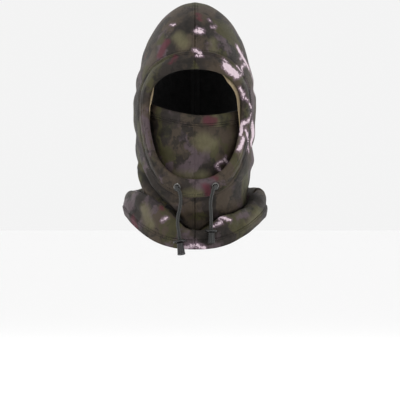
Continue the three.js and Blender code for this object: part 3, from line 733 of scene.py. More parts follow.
def make_camouflage_group():
    graph, given, put_out = new_group(
        "camouflage_print",
        {"Shade": (FLOAT, 1.0), "Shift": (VECTOR, (0, 0, 0))},
        {"Color": COLOUR, "Ink": FLOAT},
    )
    where = graph.vector("ADD", {0: graph.place(), 1: given.outputs["Shift"]})
    charcoal, brown = (0.021, 0.016, 0.013), (0.056, 0.041, 0.028)
    purple, olive = (0.080, 0.057, 0.064), (0.050, 0.0455, 0.0195)
    pale, dark, wine = (0.125, 0.113, 0.060), (0.008, 0.0065, 0.005), (0.082, 0.017, 0.026)
    blush, white = (0.20, 0.135, 0.175), (0.66, 0.53, 0.59)
    warp = graph.node("ShaderNodeTexNoise", {"Vector": where, "Scale": 90, "Detail": 4, "Roughness": 0.65})
    ragged_edge = graph.vector("SUBTRACT", {0: warp.outputs["Color"], 1: (0.5, 0.5, 0.5)})
    ragged_edge = graph.vector("SCALE", {0: ragged_edge, "Scale": 0.022})
    brushed = graph.vector("ADD", {0: where, 1: ragged_edge})
    broad = graph.noise(graph.scaled(brushed, (1, 1, 0.75)), 16, 2, 0.5, 0.4)
    broad_b = graph.noise(graph.scaled(brushed, (1, 1, 0.8), (3.1, 1.7, 5.2)), 21, 2, 0.5, 0.6)
    broad_c = graph.noise(graph.scaled(brushed, (1, 1, 0.7), (7.3, 4.1, 2.9)), 24, 2, 0.55, 0.5)
    blotch = graph.noise(graph.scaled(brushed, (1, 1, 0.9), (5.3, 2.1, 7.7)), 38, 3, 0.6, 0.7)
    smear = graph.noise(graph.scaled(brushed, (1, 1, 0.35), (1.3, 8.1, 4.4)), 75, 3, 0.6, 0.4)
    colour = graph.mix_colour(graph.ramp(broad, 0.44, 0.54), charcoal, brown)
    colour = graph.mix_colour(graph.ramp(broad_b, 0.54, 0.62), colour, purple)
    colour = graph.mix_colour(graph.ramp(broad_c, 0.53, 0.60), colour, olive)
    colour = graph.mix_colour(graph.ramp(blotch, 0.52, 0.62, 0, 0.75), colour, dark)
    colour = graph.mix_colour(graph.ramp(smear, 0.56, 0.70, 0, 0.6), colour, dark)
    blur = graph.math("MULTIPLY", graph.math("SUBTRACT", smear, 0.5), 12)
    soft_olive = graph.math("ADD", graph.field("pale_olive"), blur)
    colour = graph.mix_colour(graph.ramp(soft_olive, -7, 6, 0, 0.75), colour, pale)
    soft_wine = graph.math("ADD", graph.field("wine"), blur)
    colour = graph.mix_colour(graph.ramp(soft_wine, -3, 3.5, 0, 0.9), colour, wine)
    torn = graph.noise(where, 270, 4, 0.62, 1.0)
    ragged = graph.math("MULTIPLY", graph.math("SUBTRACT", torn, 0.5), 10)
    splash = graph.math("ADD", graph.field("splash"), ragged)
    colour = graph.mix_colour(graph.ramp(splash, -3.6, 0.4, 0, 0.7), colour, blush)
    colour = graph.mix_colour(graph.ramp(splash, -0.1, 0.9), colour, white)
    # painted shade: darkens the print towards near black in the deep creases and inside the cape's crest
    colour = graph.mix_colour(graph.ramp(graph.field("painted_shade"), 0, 1, 0, 0.85), colour, dark)
    # Shade darkens a whole copy of the print: painted shade for the mask and the cape
    graph.feed(put_out.inputs["Color"], graph.shaded(colour, given.outputs["Shade"]))
    graph.feed(put_out.inputs["Ink"], graph.ramp(splash, -0.5, 0.6))
    return graph.tree


def make_knit_group():
    """The fine ribs and fibre of a stretch knit, as a height, and its tone."""
    graph, given, put_out = new_group(
        "stretch_knit",
        {"Rib Scale": (FLOAT, 1.0)},
        {"Height": FLOAT, "Tone": FLOAT},
    )
    where = graph.place()
    rib_scale = graph.math("MULTIPLY", given.outputs["Rib Scale"], 1400)
    ribs = graph.node(
        "ShaderNodeTexWave",
        {"Vector": where, "Scale": rib_scale, "Distortion": 1.2, "Detail": 1.0, "Detail Scale": 2.0},
        bands_direction="DIAGONAL",
    ).outputs[1]
    fibre = graph.noise(where, 1700, 2, 0.6)
    slub = graph.noise(graph.scaled(where, (1, 1, 0.3)), 260, 3, 0.6)
    height = graph.math("ADD", graph.math("MULTIPLY", ribs, 0.45), graph.math("MULTIPLY", fibre, 0.55))
    height = graph.math("ADD", height, graph.math("MULTIPLY", slub, 0.4))
    graph.feed(put_out.inputs["Height"], height)
    graph.feed(put_out.inputs["Tone"], graph.ramp(slub, 0.25, 0.75))
    return graph.tree


CAMOUFLAGE = make_camouflage_group()
KNIT = make_knit_group()


def add_knit_bump(graph, shader, strength, distance, scale=1.0):
    knit = graph.node("ShaderNodeGroup", node_tree=KNIT)
    knit.inputs["Rib Scale"].default_value = scale
    graph.bump(shader, knit.outputs["Height"], strength, distance)
    return knit


def camouflage_cloth(name, shade=1.0, shift=(0, 0, 0)):
    material, graph, shader = new_material(
        name, Roughness=0.6, Sheen_Weight=0.03, Sheen_Roughness=0.4, Specular_IOR_Level=0.22
    )
    printed = graph.node("ShaderNodeGroup", node_tree=CAMOUFLAGE)
    printed.inputs["Shade"].default_value = shade
    printed.inputs["Shift"].default_value = shift
    knit = add_knit_bump(graph, shader, 0.32, 0.0005)
    tone = graph.ramp(knit.outputs["Tone"], 0, 1, 0.9, 1.06)
    graph.feed(shader.inputs["Base Color"], graph.shaded(printed.outputs["Color"], tone))
    graph.feed(shader.inputs["Roughness"], graph.ramp(printed.outputs["Ink"], 0, 1, 0.62, 0.5))
    return material


def plain_cloth(name, colour, darker, roughness, bump, scale, sheen=0.1):
    material, graph, shader = new_material(
        name, Roughness=roughness, Sheen_Weight=sheen, Sheen_Roughness=0.5, Specular_IOR_Level=0.25
    )
    knit = add_knit_bump(graph, shader, bump, 0.0006, scale)
    cloudy = graph.noise(graph.place(), 45, 4, 0.6)
    share = graph.math("MULTIPLY", graph.ramp(cloudy, 0.3, 0.7), knit.outputs["Tone"])
    graph.feed(shader.inputs["Base Color"], graph.mix_colour(share, darker, colour))
    graph.feed(shader.inputs["Roughness"], graph.ramp(cloudy, 0.3, 0.7, roughness - 0.06, roughness + 0.06))
    return material


def fleece(name, colour):
    material, graph, shader = new_material(
        name, Roughness=0.95, Sheen_Weight=0.15, Sheen_Roughness=0.6, Specular_IOR_Level=0.15
    )
    where = graph.place()
    pile = graph.noise(where, 520, 4, 0.7)
    clumps = graph.noise(where, 120, 3, 0.6)
    height = graph.math("ADD", pile, graph.math("MULTIPLY", clumps, 0.8))
    graph.bump(shader, height, 0.7, 0.0012)
    dark = tuple(0.5 * c for c in colour)
    graph.feed(shader.inputs["Base Color"], graph.mix_colour(graph.ramp(clumps, 0.3, 0.7), dark, colour))
    return material


def braided_cord(name, colour):
    """A round braid: the UV map's u runs round the cord and v along it, in braid repeats."""
    material, graph, shader = new_material(name, Roughness=0.7, Sheen_Weight=0.2, Specular_IOR_Level=0.3)
    uv = graph.node("ShaderNodeTexCoord").outputs["UV"]
    strands = []
    for turn in (1, -1):
        slanted = graph.node("ShaderNodeMapping", {"Vector": uv, "Rotation": (0, 0, turn * math.pi / 4)})
        strands.append(graph.node(
            "ShaderNodeTexWave",
            {"Vector": slanted.outputs[0], "Scale": 2.2, "Distortion": 0.3, "Detail": 0.0},
            bands_direction="X",
        ).outputs[1])
    weave = graph.math("MAXIMUM", strands[0], strands[1])
    fibre = graph.noise(graph.place(), 2400, 2, 0.6)
    height = graph.math("ADD", weave, graph.math("MULTIPLY", fibre, 0.3))
    graph.bump(shader, height, 0.8, 0.0005)
    dark = tuple(0.35 * c for c in colour)
    share = graph.math("MULTIPLY", weave, graph.ramp(fibre, 0.2, 0.8, 0.7, 1.0))
    graph.feed(shader.inputs["Base Color"], graph.mix_colour(share, dark, colour))
    return material


def moulded_plastic(name, colour, roughness):
    material, graph, shader = new_material(name, Roughness=roughness, Specular_IOR_Level=0.5)
    where = graph.place()
    grain = graph.noise(where, 900, 3, 0.6)
    smudge = graph.noise(where, 110, 3, 0.6)
    graph.bump(shader, grain, 0.12, 0.0002)
    worn = tuple(c * 1.9 + 0.004 for c in colour)
    graph.feed(shader.inputs["Base Color"], graph.mix_colour(graph.ramp(smudge, 0.45, 0.75), colour, worn))
    graph.feed(shader.inputs["Roughness"], graph.ramp(smudge, 0.3, 0.7, roughness - 0.07, roughness + 0.1))
    return material


def plated_metal(name, colour, roughness):
    material, graph, shader = new_material(name, Metallic=1.0, Roughness=roughness)
    where = graph.place()
    tarnish = graph.noise(where, 260, 4, 0.65)
    scuffs = graph.noise(graph.scaled(where, (1, 1, 8)), 700, 2, 0.5)
    dull = tuple(0.45 * c for c in colour)
    graph.feed(shader.inputs["Base Color"], graph.mix_colour(graph.ramp(tarnish, 0.4, 0.7), colour, dull))
    graph.feed(shader.inputs["Roughness"], graph.ramp(scuffs, 0.3, 0.7, roughness - 0.08, roughness + 0.14))
    graph.bump(shader, scuffs, 0.08, 0.0002)
    return material


CLOTH = camouflage_cloth("camouflage_shell")
BAND_CLOTH = camouflage_cloth("camouflage_band", 1.0, (0.11, 0.03, 0.05))
# painted shade: the mask's and the cape's copies of the print are darkened (0.85 and 0.95) to stand in for
# the shade they sit in
MASK_CLOTH = camouflage_cloth("camouflage_mask", 0.85, (0.31, 0.07, 0.12))
CAPE_CLOTH = camouflage_cloth("camouflage_cape", 0.95, (0.05, 0.21, 0.02))
FLEECE = fleece("black_fleece", (0.014, 0.013, 0.014))
FACING = plain_cloth("tan_facing", (0.42, 0.33, 0.20), (0.25, 0.19, 0.11), 0.8, 0.4, 0.8)
THREAD = plain_cloth("brown_thread", (0.022, 0.019, 0.017), (0.010, 0.009, 0.008), 0.7, 0.3, 2.0, 0.05)
TAPE = plain_cloth("black_tape", (0.03, 0.03, 0.03), (0.015, 0.015, 0.015), 0.8, 0.5, 0.7)
ELASTIC = plain_cloth("black_elastic", (0.035, 0.035, 0.035), (0.018, 0.018, 0.018), 0.75, 0.5, 0.6)
LABEL = plain_cloth("label_satin", (0.55, 0.54, 0.50), (0.42, 0.41, 0.38), 0.45, 0.2, 2.0, 0.1)
CORD = braided_cord("braided_cord", (0.026, 0.027, 0.025))
PLASTIC = moulded_plastic("black_moulding", (0.008, 0.008, 0.008), 0.24)
NICKEL = plated_metal("black_nickel", (0.17, 0.165, 0.16), 0.2)


def finish_with(piece, material, body="hood"):
    piece.data.materials.clear()
    piece.data.materials.append(material)
    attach(piece, body)


# ---- Stitches ---------------------------------------------------------------------------------

def stitch_row(name, path, normals, body="hood", lift=0.1):
    """Lock stitches lying along a path on the cloth, as one mesh."""
    path = np.asarray(path, float)
    normals = np.asarray(normals, float)
    along = length_along(path)
    count = int(along[-1] // STITCH_PITCH)
    sides, rings = 6, 5
    points, faces = [], []
    spots = np.linspace(-1, 1, rings)
    for n in range(count):
        middle = (n + 0.5) * along[-1] / count
        at = middle + spots * STITCH_LENGTH / 2
        centres = np.stack([np.interp(at, along, path[:, c]) for c in range(3)], axis=1)
        normal = np.array([np.interp(middle, along, normals[:, c]) for c in range(3)])
        normal /= np.linalg.norm(normal)
        direction = centres[-1] - centres[0]
        direction /= max(np.linalg.norm(direction), 1e-9)
        side = np.cross(direction, normal)
        start = len(points)
        for spot, centre in zip(spots, centres):
            radius = STITCH_RADIUS * math.sqrt(max(1 - spot * spot, 0.06))
            height = lift + STITCH_RADIUS * 0.9 * (1 - spot * spot)
            for k in range(sides):
                turn = 2 * math.pi * k / sides
                out = height + radius * math.sin(turn)
                points.append(centre + normal * out + side * radius * math.cos(turn))
        for r in range(rings - 1):
            for k in range(sides):
                a, b = start + r * sides + k, start + r * sides + (k + 1) % sides
                faces.append((a, b, b + sides, a + sides))
        faces.append(tuple(start + k for k in reversed(range(sides))))
        faces.append(tuple(start + (rings - 1) * sides + k for k in range(sides)))
    piece = new_piece(name, np.array(points), faces)
    finish_with(piece, THREAD, body)


def close_seams(points, sign):
    """Brings both ends of each row onto the centre plane, and keeps the rest on its own side."""
    points[..., 0] = sign * np.maximum(sign * points[..., 0], 0)
    points[:, 0, 0] = 0
    points[:, -1, 0] = 0


# ---- Hood panels and their lining ---------------------------------------------------------------

def hood_half(name, sign, columns, rows, offset, edge_in):
    """One half of a hood layer as a grid of points from the centre seam round to the back."""
    u = np.linspace(0, 1, columns)
    # closer columns beside both centre seams
    angle = math.pi * (u - 0.06 * np.sin(4 * math.pi * u) / (2 * math.pi))
    v = np.linspace(0, 1, rows) ** 1.12
    angles, shares = np.meshgrid(angle, v)
    shares = shares * share_at(lower_edge_z(angles))
    points, normal = hood_surface(sign * angles, shares, offset)
    base = hood_base(sign * angles, shares)
    along = shares * 420
    points += normal * (seam_relief(base[..., 0], along) * smoothstep(shares, 0, 0.05))[..., None]
    close_seams(points, sign)
    faces = grid_faces(rows, columns, flip=sign < 0)
    flat = points.reshape(-1, 3)
    front = flat[:, 1] < -12
    hidden = inside_egg(flat[:, 0], flat[:, 2], edge_in[0], edge_in[1]) & front
    kept = faces[~hidden[faces].all(axis=1)]
    used = np.unique(kept)
    renumber = np.full(len(flat), -1)
    renumber[used] = np.arange(len(used))
    return new_piece(name, flat[used], renumber[kept])


def merge_close(piece, distance=0.02):
    mesh = bmesh.new()
    mesh.from_mesh(piece.data)
    bmesh.ops.remove_doubles(mesh, verts=mesh.verts, dist=distance * MM)
    mesh.to_mesh(piece.data)
    mesh.free()
    piece.data.shade_smooth()


SIDES = (("left", -1), ("right", 1))


def finish_sheet(piece, thickness, material, nodes, body="hood", offset=-1.0):
    """Gives a single layer of points its thickness and its finish, and hides the CAD pieces that it replaces.
    """
    thicken(piece, thickness, offset)
    finish_with(piece, material, body)
    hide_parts(*nodes)


def make_hood():
    shells = []
    for side, sign in SIDES:
        shell = hood_half(f"hood_cloth_{side}", sign, 170, 210, 0, (BAND_HEIGHT - 4, BAND_SIDE - 3))
        merge_close(shell)
        finish_sheet(shell, SHELL_CLOTH, CLOTH, [f"hood_panel_{side}"])
        shells.append(shell)
        lining_offset = -SHELL_CLOTH - LAYER_GAP
        edge_in = (BAND_HEIGHT - 3, BAND_SIDE - 2)
        lining = hood_half(f"hood_fleece_{side}", sign, 70, 90, lining_offset, edge_in)
        merge_close(lining)
        finish_sheet(lining, LINING_CLOTH, FLEECE, [f"hood_lining_{side}"])
    print_camouflage(shells, "hood", 100)


TAPE_HALF = 6.0
APEX_SHARE = 0.004


def make_seam_tapes():
    """Tape over the centre seam inside: down the back and the crown, and up the throat."""
    nape, brow, chin, throat = share_at(
        [NAPE_Z + 1, OPENING_TOP_Z + BAND_HEIGHT, OPENING_BOTTOM_Z - BAND_HEIGHT, THROAT_Z + 1]
    )
    back, front = np.linspace(nape, APEX_SHARE, 150), np.linspace(APEX_SHARE, brow, 60)
    over_crown = [(math.pi, share) for share in back] + [(0.0, share) for share in front]
    up_throat = [(0.0, share) for share in np.linspace(chin, throat, 50)]
    offsets = np.linspace(-TAPE_HALF, TAPE_HALF, 9)
    for name, rows in (("crown", over_crown), ("throat", up_throat)):
        middles = np.array([angle for angle, _ in rows])[:, None]
        shares = np.array([share for _, share in rows])[:, None] + 0 * offsets
        wide = np.interp(shares, SHARES, TABLE[:, 1]) * HALF_WIDTH
        drop = np.interp(shares, SHARES, TABLE[:, 0])
        ridge = mix(CROWN_RIDGE, 1, smoothstep(drop, 0, RIDGE_END))
        swing = np.arcsin(signed_power(np.clip(offsets / wide, -1, 1), 1 / ridge))
        angles = np.where(middles > 1, math.pi - swing, swing)
        points, _ = hood_surface(angles, shares, -SHELL_CLOTH - 2 * LAYER_GAP - LINING_CLOTH)
        tape = new_piece(f"{name}_tape", points.reshape(-1, 3), grid_faces(len(rows), len(offsets)))
        thicken(tape, 0.4, 0)
        finish_with(tape, TAPE)
        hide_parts(f"{name}_seam_tape")


def centre_seam_path(front, offset):
    """Points and normals down the hood's centre line, beside the seam."""
    shares = np.linspace(0.015, 1, 500)
    side = np.full_like(shares, 1e-4)
    angle = side if front else math.pi - side
    edge = lower_edge_z(angle)
    shares = shares * share_at(edge)
    z = hood_base(angle, shares)[:, 2]
    drop, wide = (np.interp(shares, SHARES, TABLE[:, c]) for c in (0, 1))
    ridge = mix(CROWN_RIDGE, 1, smoothstep(drop, 0, RIDGE_END))
    share_across = np.minimum(np.abs(offset) / (wide * HALF_WIDTH), 1)
    swing = np.arcsin(share_across ** (1 / ridge)) * np.sign(offset)
    angle = swing if front else math.pi - swing
    points, normal = hood_surface(angle, shares)
    points = points - normal * 0.35
    return points, normal, z


def make_centre_stitches():
    for side, sign in SIDES:
        back, back_normal, _ = centre_seam_path(False, sign * TOPSTITCH_OFFSET)
        stitch_row(f"back_topstitch_{side}", back, back_normal)
        points, normal, z = centre_seam_path(True, sign * TOPSTITCH_OFFSET)
        crown = z > OPENING_TOP_Z + BAND_HEIGHT + 1
        stitch_row(f"crown_topstitch_{side}", points[crown], normal[crown])
        throat = z < OPENING_BOTTOM_Z - BAND_HEIGHT - 1
        stitch_row(f"throat_topstitch_{side}", points[throat], normal[throat])


# ---- Face band ------------------------------------------------------------------------------------

# The band's section: share of its width from the outer seam to the opening, and height
# over the hood's surface.
BAND_SECTION = [
    (-0.03, -0.9), (0.0, 0.5), (0.025, 1.5), (0.06, 1.95), (0.09, 1.55), (0.12, 2.05),
    (0.15, 2.15), (0.18, 1.75), (0.21, 2.3), (0.28, 3.0), (0.37, 3.9), (0.47, 4.6), (0.57, 5.0),
    (0.67, 5.05), (0.76, 4.7), (0.84, 4.1), (0.9, 3.4), (0.95, 2.5), (0.985, 1.3), (1.0, 0.0),
    (0.995, -1.2), (0.97, -2.3), (0.92, -3.0), (0.84, -3.3),
]
STITCH_SHARES = (0.09, 0.18)


def band_points(theta, share, height):
    """The band at outline angle theta: share 0 is its outer seam, 1 the opening's edge."""
    x, z = egg(theta, BAND_HEIGHT * (1 - share), BAND_SIDE * (1 - share))
    angle, down = angle_on_front(x, z)
    base = hood_base(angle, down)
    normal = hood_normal(angle, down)
    relief = 0.55 * hood_relief(angle, base)
    return base + normal * (relief + height)[..., None], normal


def band_relief(theta, share, along):
    """Puckers beside the stitching and long soft creases round the band."""
    bulge = np.sin(math.pi * np.clip(share, 0, 1))
    pucker = 0.28 * np.sin(along / 2.9 + 3 * np.sin(along / 23)) * np.exp(-((share - 0.2) / 0.12) ** 2)
    crease_at = 0.62 + 0.07 * np.sin(theta * 2.3 + 0.6)
    strength = 0.55 + 0.45 * np.sin(theta * 3.1 + 1.1)
    crease = -1.0 * strength * np.exp(-((share - crease_at) / 0.06) ** 2)
    drag = 0.45 * np.sin(along / 9.5 + share * 5 + 2 * np.sin(along / 41)) * bulge
    return pucker + crease + drag


def make_face_band():
    section = np.array(BAND_SECTION)
    smooth = spline_rows(section, np.linspace(0, len(section) - 1, 3 * len(section)))
    bands = []
    for side, sign in SIDES:
        count = 300
        theta = even_thetas(count, 0.0, sign * math.pi)
        x, z = egg(theta, BAND_HEIGHT / 2, BAND_SIDE / 2)
        along = length_along(np.stack([x, z], axis=1))
        thetas, shares = np.meshgrid(theta, smooth[:, 0])
        heights = np.repeat(smooth[:, 1:], count, axis=1)
        lengths = np.repeat(along[None, :], len(smooth), axis=0)
        outside = smoothstep(heights, 0.2, 2.0)
        heights = heights + band_relief(thetas, shares, lengths) * outside
        points, normal = band_points(thetas, shares, heights)
        seam = seam_relief(points[..., 0], lengths) * outside * np.where(np.cos(thetas) > 0, 1, 0.35)
        points = points + normal * seam[..., None]
        close_seams(points, sign)
        faces = grid_faces(len(smooth), count, flip=sign < 0)
        band = new_piece(f"face_band_cloth_{side}", points.reshape(-1, 3), faces)
        finish_sheet(band, BAND_THICKNESS, BAND_CLOTH, [f"face_band_{side}"])
        bands.append(band)
        line = theta[2:-2]
        for row, share in enumerate(STITCH_SHARES):
            level = np.interp(share, section[1:20, 0], section[1:20, 1]) - 0.1
            path, normals = band_points(line, np.full(line.shape, share), np.full(line.shape, level))
            stitch_row(f"band_topstitch_{side}_{row + 1}", path, normals)
        outer = np.full(line.shape, -0.02) - 1.6 / band_width(line)
        path, _ = band_points(line, outer, np.full(line.shape, -0.3))
        angle, down = angle_on_front(path[:, 0], path[:, 2])
        path, normals = hood_surface(angle, down, -0.15)
        stitch_row(f"hood_edge_topstitch_{side}", path, normals)
    print_camouflage(bands, "band", 200)


def band_width(theta):
    """The band's width seen from the front, in millimetres."""
    return mix(BAND_HEIGHT, BAND_SIDE, np.abs(np.sin(theta)) ** 1.5)


# The pale facing: a turned edge inside the opening, then flat behind the tunnel. Each row is
# millimetres past the band's edge, the share of the reveal added to them, and the height.
FACING_SECTION = [
    (-11, 0, -4.7), (-8, 0, -4.6), (-5, 0, -4.4), (-2.5, 0.1, -3.9), (-1.2, 0.4, -3.2), (-0.7, 0.8, -2.5),
    (-0.6, 1, -2.0), (-0.8, 1.03, -2.6), (-1.3, 0.95, -3.8), (-2.2, 0.7, -4.8), (-4, 0.3, -5.3),
]


def facing_reveal(theta):
    """How far the facing shows past the band: most beside the eyes, where the edge gapes."""
    angle = np.degrees(theta)
    right = 4.8 * smoothstep(angle, 30, 48) * (1 - smoothstep(angle, 86, 106))
    left = 3.4 * smoothstep(-angle, 58, 74) * (1 - smoothstep(-angle, 80, 98))
    return -0.7 + right + left


def make_facing():
    section = np.array(FACING_SECTION)
    smooth = spline_rows(section, np.linspace(0, len(section) - 1, 2 * len(section)))
    for side, sign in SIDES:
        count = 180
        theta = even_thetas(count, 0.0, sign * math.pi)
        thetas, past = np.meshgrid(theta, smooth[:, 0])
        part = np.repeat(smooth[:, 1:2], count, axis=1)
        heights = np.repeat(smooth[:, 2:], count, axis=1)
        shares = 1 + (past + part * facing_reveal(thetas)) / band_width(thetas)
        points, _ = band_points(thetas, shares, heights)
        close_seams(points, sign)
        facing = new_piece(
            f"tan_facing_{side}", points.reshape(-1, 3), grid_faces(len(smooth), count, flip=sign < 0)
        )
        nodes = [f"face_facing_{side}"]
        finish_sheet(facing, FACING_THICKNESS, FACING, nodes, offset=0)


# ---- Mask panel ---------------------------------------------------------------------------------------

MASK_HALF_WIDTH = 70.0
MASK_BOTTOM_HALF = 61.0
MASK_ANGLE = math.radians(66)
MASK_TOP_Z = -147.0
MASK_RISE = 13.0
MASK_BOTTOM_Z = panel_low[2]
MASK_RIDGE = 1.15
MASK_LINING_SHARE = 0.975
MASK_REACH = [(-128, 93.5), (-166, 95.5), (-182, 98.5), (-222, 93), (MASK_BOTTOM_Z, 86)]

# Folds of the mask: both ends as (x, z), depth and width.
MASK_FOLDS = [
    ((-22, -182), (4, -194), 2.4, 4.5),
    ((-2, -178), (20, -200), 2.0, 5),
    ((-50, -164), (-20, -174), 1.2, 5),
    ((16, -204), (34, -188), 1.3, 5),
    ((-40, -196), (-12, -214), 1.4, 7),
    ((0, -214), (26, -222), 1.2, 6),
    ((36, -170), (56, -160), 1.0, 5),
]


# How far the top edge has settled from level: up by this much at -X, and down at +X.
MASK_TILT = 4.5


def mask_top_z(angle):
    across = np.sin(angle) / math.sin(MASK_ANGLE)
    return MASK_TOP_Z + MASK_RISE * across ** 2 - MASK_TILT * across


def mask_base(angle, z, flat_top=False):
    """The mask's surface; flat_top keeps the hem's own reach."""
    levels, reaches = np.array(MASK_REACH).T
    shaped = np.interp(-z, -levels, reaches)
    reach = np.where(flat_top, MASK_REACH[0][1], shaped)
    half = mix(MASK_HALF_WIDTH, MASK_BOTTOM_HALF, smoothstep(-z, 172, -MASK_BOTTOM_Z))
    x = half * signed_power(np.sin(angle), MASK_RIDGE)
    return np.stack([x, -reach * np.cos(angle), z], axis=-1)


def mask_relief(points):
    x, z = points[..., 0], points[..., 2]
    relief = 0.8 * wave_noise(points * [1, 0.4, 0.9], 70, 31)
    for a, b, depth, width in MASK_FOLDS:
        relief += fold_relief(x, z, [a, b], depth, width)
    return relief


def make_mask():
    panels = []
    for side, sign in SIDES:
        columns, rows = 110, 130
        angles, downs = np.meshgrid(np.linspace(0, MASK_ANGLE, columns), np.linspace(0, 1, rows))
        top = mask_top_z(angles) - 6
        z = mix(top, MASK_BOTTOM_Z, downs)
        points = mask_base(sign * angles, z)
        normal = surface_normals(points, flip=sign < 0)
        normal = np.where(normal[..., 1:2] > 0, -normal, normal)
        below_hem = smoothstep(downs * (top - MASK_BOTTOM_Z), 14, 30)
        relief = mask_relief(points) * below_hem
        relief += seam_relief(points[..., 0], -z) * 0.4
        points = points + normal * relief[..., None]
        points[:, 0, 0] = 0
        faces = grid_faces(rows, columns, flip=sign < 0)
        panel = new_piece(f"mask_cloth_{side}", points.reshape(-1, 3), faces)
        finish_sheet(panel, SHELL_CLOTH, MASK_CLOTH, [f"mask_panel_{side}"])
        panels.append(panel)
        squash_mask(panel)
    print_camouflage(panels, "mask", 300)
    columns, rows = 120, 60
    angles, downs = np.meshgrid(np.linspace(-MASK_ANGLE, MASK_ANGLE, columns), np.linspace(0, 1, rows))
    z = mix(mask_top_z(angles) - 8, MASK_BOTTOM_Z, downs)
    points = mask_base(angles, z) * [MASK_LINING_SHARE, MASK_LINING_SHARE, 1]
    lining = new_piece("mask_fleece", points.reshape(-1, 3), grid_faces(rows, columns))
    finish_sheet(lining, LINING_CLOTH, FLEECE, ["mask_lining"])
    squash_mask(lining)


def squash_mask(piece):
    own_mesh(piece)


# The hem's section: how far down from its top edge, and how far out from its middle.
HEM_SECTION = [
    (16.8, 0.4), (16.9, 1.4), (16.2, 2.3), (15.2, 2.5), (14.2, 1.6), (13.2, 2.5), (12.3, 2.6), (11.4, 1.8),
    (10.4, 2.6), (7, 2.7), (3, 2.4), (1.0, 1.9),
    (0.1, 1.0), (0, 0), (0.3, -0.9), (1.4, -1.5), (5, -1.7), (11, -1.7), (16, -1.6),
]


HEM_STITCH_DOWNS = (14.2, 11.4)


def mask_outward(angle, z):
    """The level direction out of the mask's hem."""
    outward = np.stack([np.sin(angle) / MASK_HALF_WIDTH, -np.cos(angle) / MASK_REACH[0][1], 0 * z], axis=-1)
    return outward / np.linalg.norm(outward, axis=-1, keepdims=True)


def make_mask_hem():
    section = np.array(HEM_SECTION)
    smooth = spline_rows(section, np.linspace(0, len(section) - 1, 3 * len(section)))
    columns = 260
    angle = np.linspace(-MASK_ANGLE, MASK_ANGLE, columns)
    angles, downs = np.meshgrid(angle, smooth[:, 0])
    outs = np.repeat(smooth[:, 1:], columns, axis=1)
    z = mask_top_z(angles) - downs
    base = mask_base(angles, z, flat_top=True)
    ripple = 0.25 * np.sin(base[..., 0] / 3.3) * np.exp(-((downs - 14) / 3) ** 2)
    ripple += 0.5 * wave_noise(base, 60, 41) * (outs > 0.5)
    points = base + mask_outward(angles, z) * (outs + ripple)[..., None]
    hem = new_piece("mask_hem_cloth", points.reshape(-1, 3), grid_faces(len(smooth), columns, flip=True))
    finish_sheet(hem, BAND_THICKNESS, MASK_CLOTH, ["mask_hem"], body="mask_top")
    print_camouflage([hem], "mask", 320)
    for row, down in enumerate(HEM_STITCH_DOWNS):
        z = mask_top_z(angle) - down
        base = mask_base(angle, z, flat_top=True)
        outward = mask_outward(angle, z)
        level = 1.7 + 0.5 * wave_noise(base, 60, 41)
        path = base + outward * level[:, None]
        stitch_row(f"mask_hem_stitch_{row + 1}", path, outward, "mask_top")


# ---- Cape ---------------------------------------------------------------------------------------------

# Rings from the neck seam over the crest to the hem: half-width, front and back reach.
CAPE_RINGS = np.array([
    (67, 80.5, 76),
    (70, 85, 78),
    (74.5, 89, 83),
    (80, 94, 89),
    (85.5, 98.5, 94.5),
    (91, 102.3, 99.5),
    (94.8, 104.6, 103.5),
    (96, 106, 106),
    (94, 106.5, 107),
])
# How far each ring from the crest on has come down towards the hem.
RING_DROP = [0, 0.12, 0.34, 0.64, 1]
# How much of the seam's tuck each ring takes: all of it at the neck seam, none from the crest on.
RING_TUCK = [1, 0.6, 0.25, 0, 0, 0, 0, 0, 0]
CREST_RING = 4
CAPE_FOLD_RADIUS = 95
STITCH_ROW_GAP = 2.6
FOLD_DEPTH = 5.5
SEAM_TUCK = 2.4
SEAM_LAP = 3.5
LINING_DEPTH = 1.9
# The crest's height against the share of the way from the centre to the side.
CREST_LEFT = [
    (0, -298), (0.15, -296), (0.29, -285), (0.39, -276), (0.55, -262), (0.7, -252), (0.85, -248),
    (1, -246),
]
CREST_RIGHT = [
    (0, -298), (0.12, -298), (0.2, -294), (0.31, -284), (0.41, -278), (0.65, -274), (0.85, -267),
    (0.93, -256), (1, -242),
]
CREST_BACK_Z = -238
HEM_FRONT_Z, HEM_SIDE_Z, HEM_BACK_Z = -322.5, -277, -297
HEM_RISE = 2.5
HEM_BAND = 12.5

# Folds of the cape: a line of (angle in degrees, height above the hem), depth and width.
CAPE_FOLDS = [
    ([(-70, 30), (-48, 22), (-26, 17)], 2.2, 6),
    ([(16, 14), (40, 20), (66, 26)], 2.2, 4.5),
    ([(30, 24), (56, 30)], 1.4, 4),
    ([(-14, 12), (10, 14)], 1.6, 5),
    ([(-96, 16), (-64, 34)], 1.6, 6),
    ([(74, 12), (100, 22)], 1.8, 6),
    ([(104, 24), (140, 16)], 2.4, 6),
    ([(-150, 22), (-112, 14)], 2.4, 6),
    ([(150, 30), (196, 18)], 2.4, 7),
]


def table_curve(table, share):
    """A line through a table's points, softened by averaging it with its neighbours."""
    at, level = np.array(table).T
    spread = (-0.05, -0.025, 0, 0.025, 0.05)
    return sum(np.interp(np.clip(share + shift, 0, 1), at, level) for shift in spread) / len(spread)


def cape_heights(angle):
    """The heights of the neck seam, the crest and the hem."""
    share = np.abs(np.sin(angle))
    ahead, on_left = np.cos(angle) > 0, np.sin(angle) < 0
    crest_front = np.where(on_left, table_curve(CREST_LEFT, share), table_curve(CREST_RIGHT, share))
    crest_side = np.where(on_left, CREST_LEFT[-1][1], CREST_RIGHT[-1][1])
    crest = np.where(ahead, crest_front, mix(CREST_BACK_Z, crest_side, share ** 2))
    hem_front = mix(HEM_FRONT_Z, HEM_SIDE_Z, share ** HEM_RISE)
    hem = np.where(ahead, hem_front, mix(HEM_BACK_Z, HEM_SIDE_Z, share ** HEM_RISE))
    return lower_edge_z(angle), crest, hem


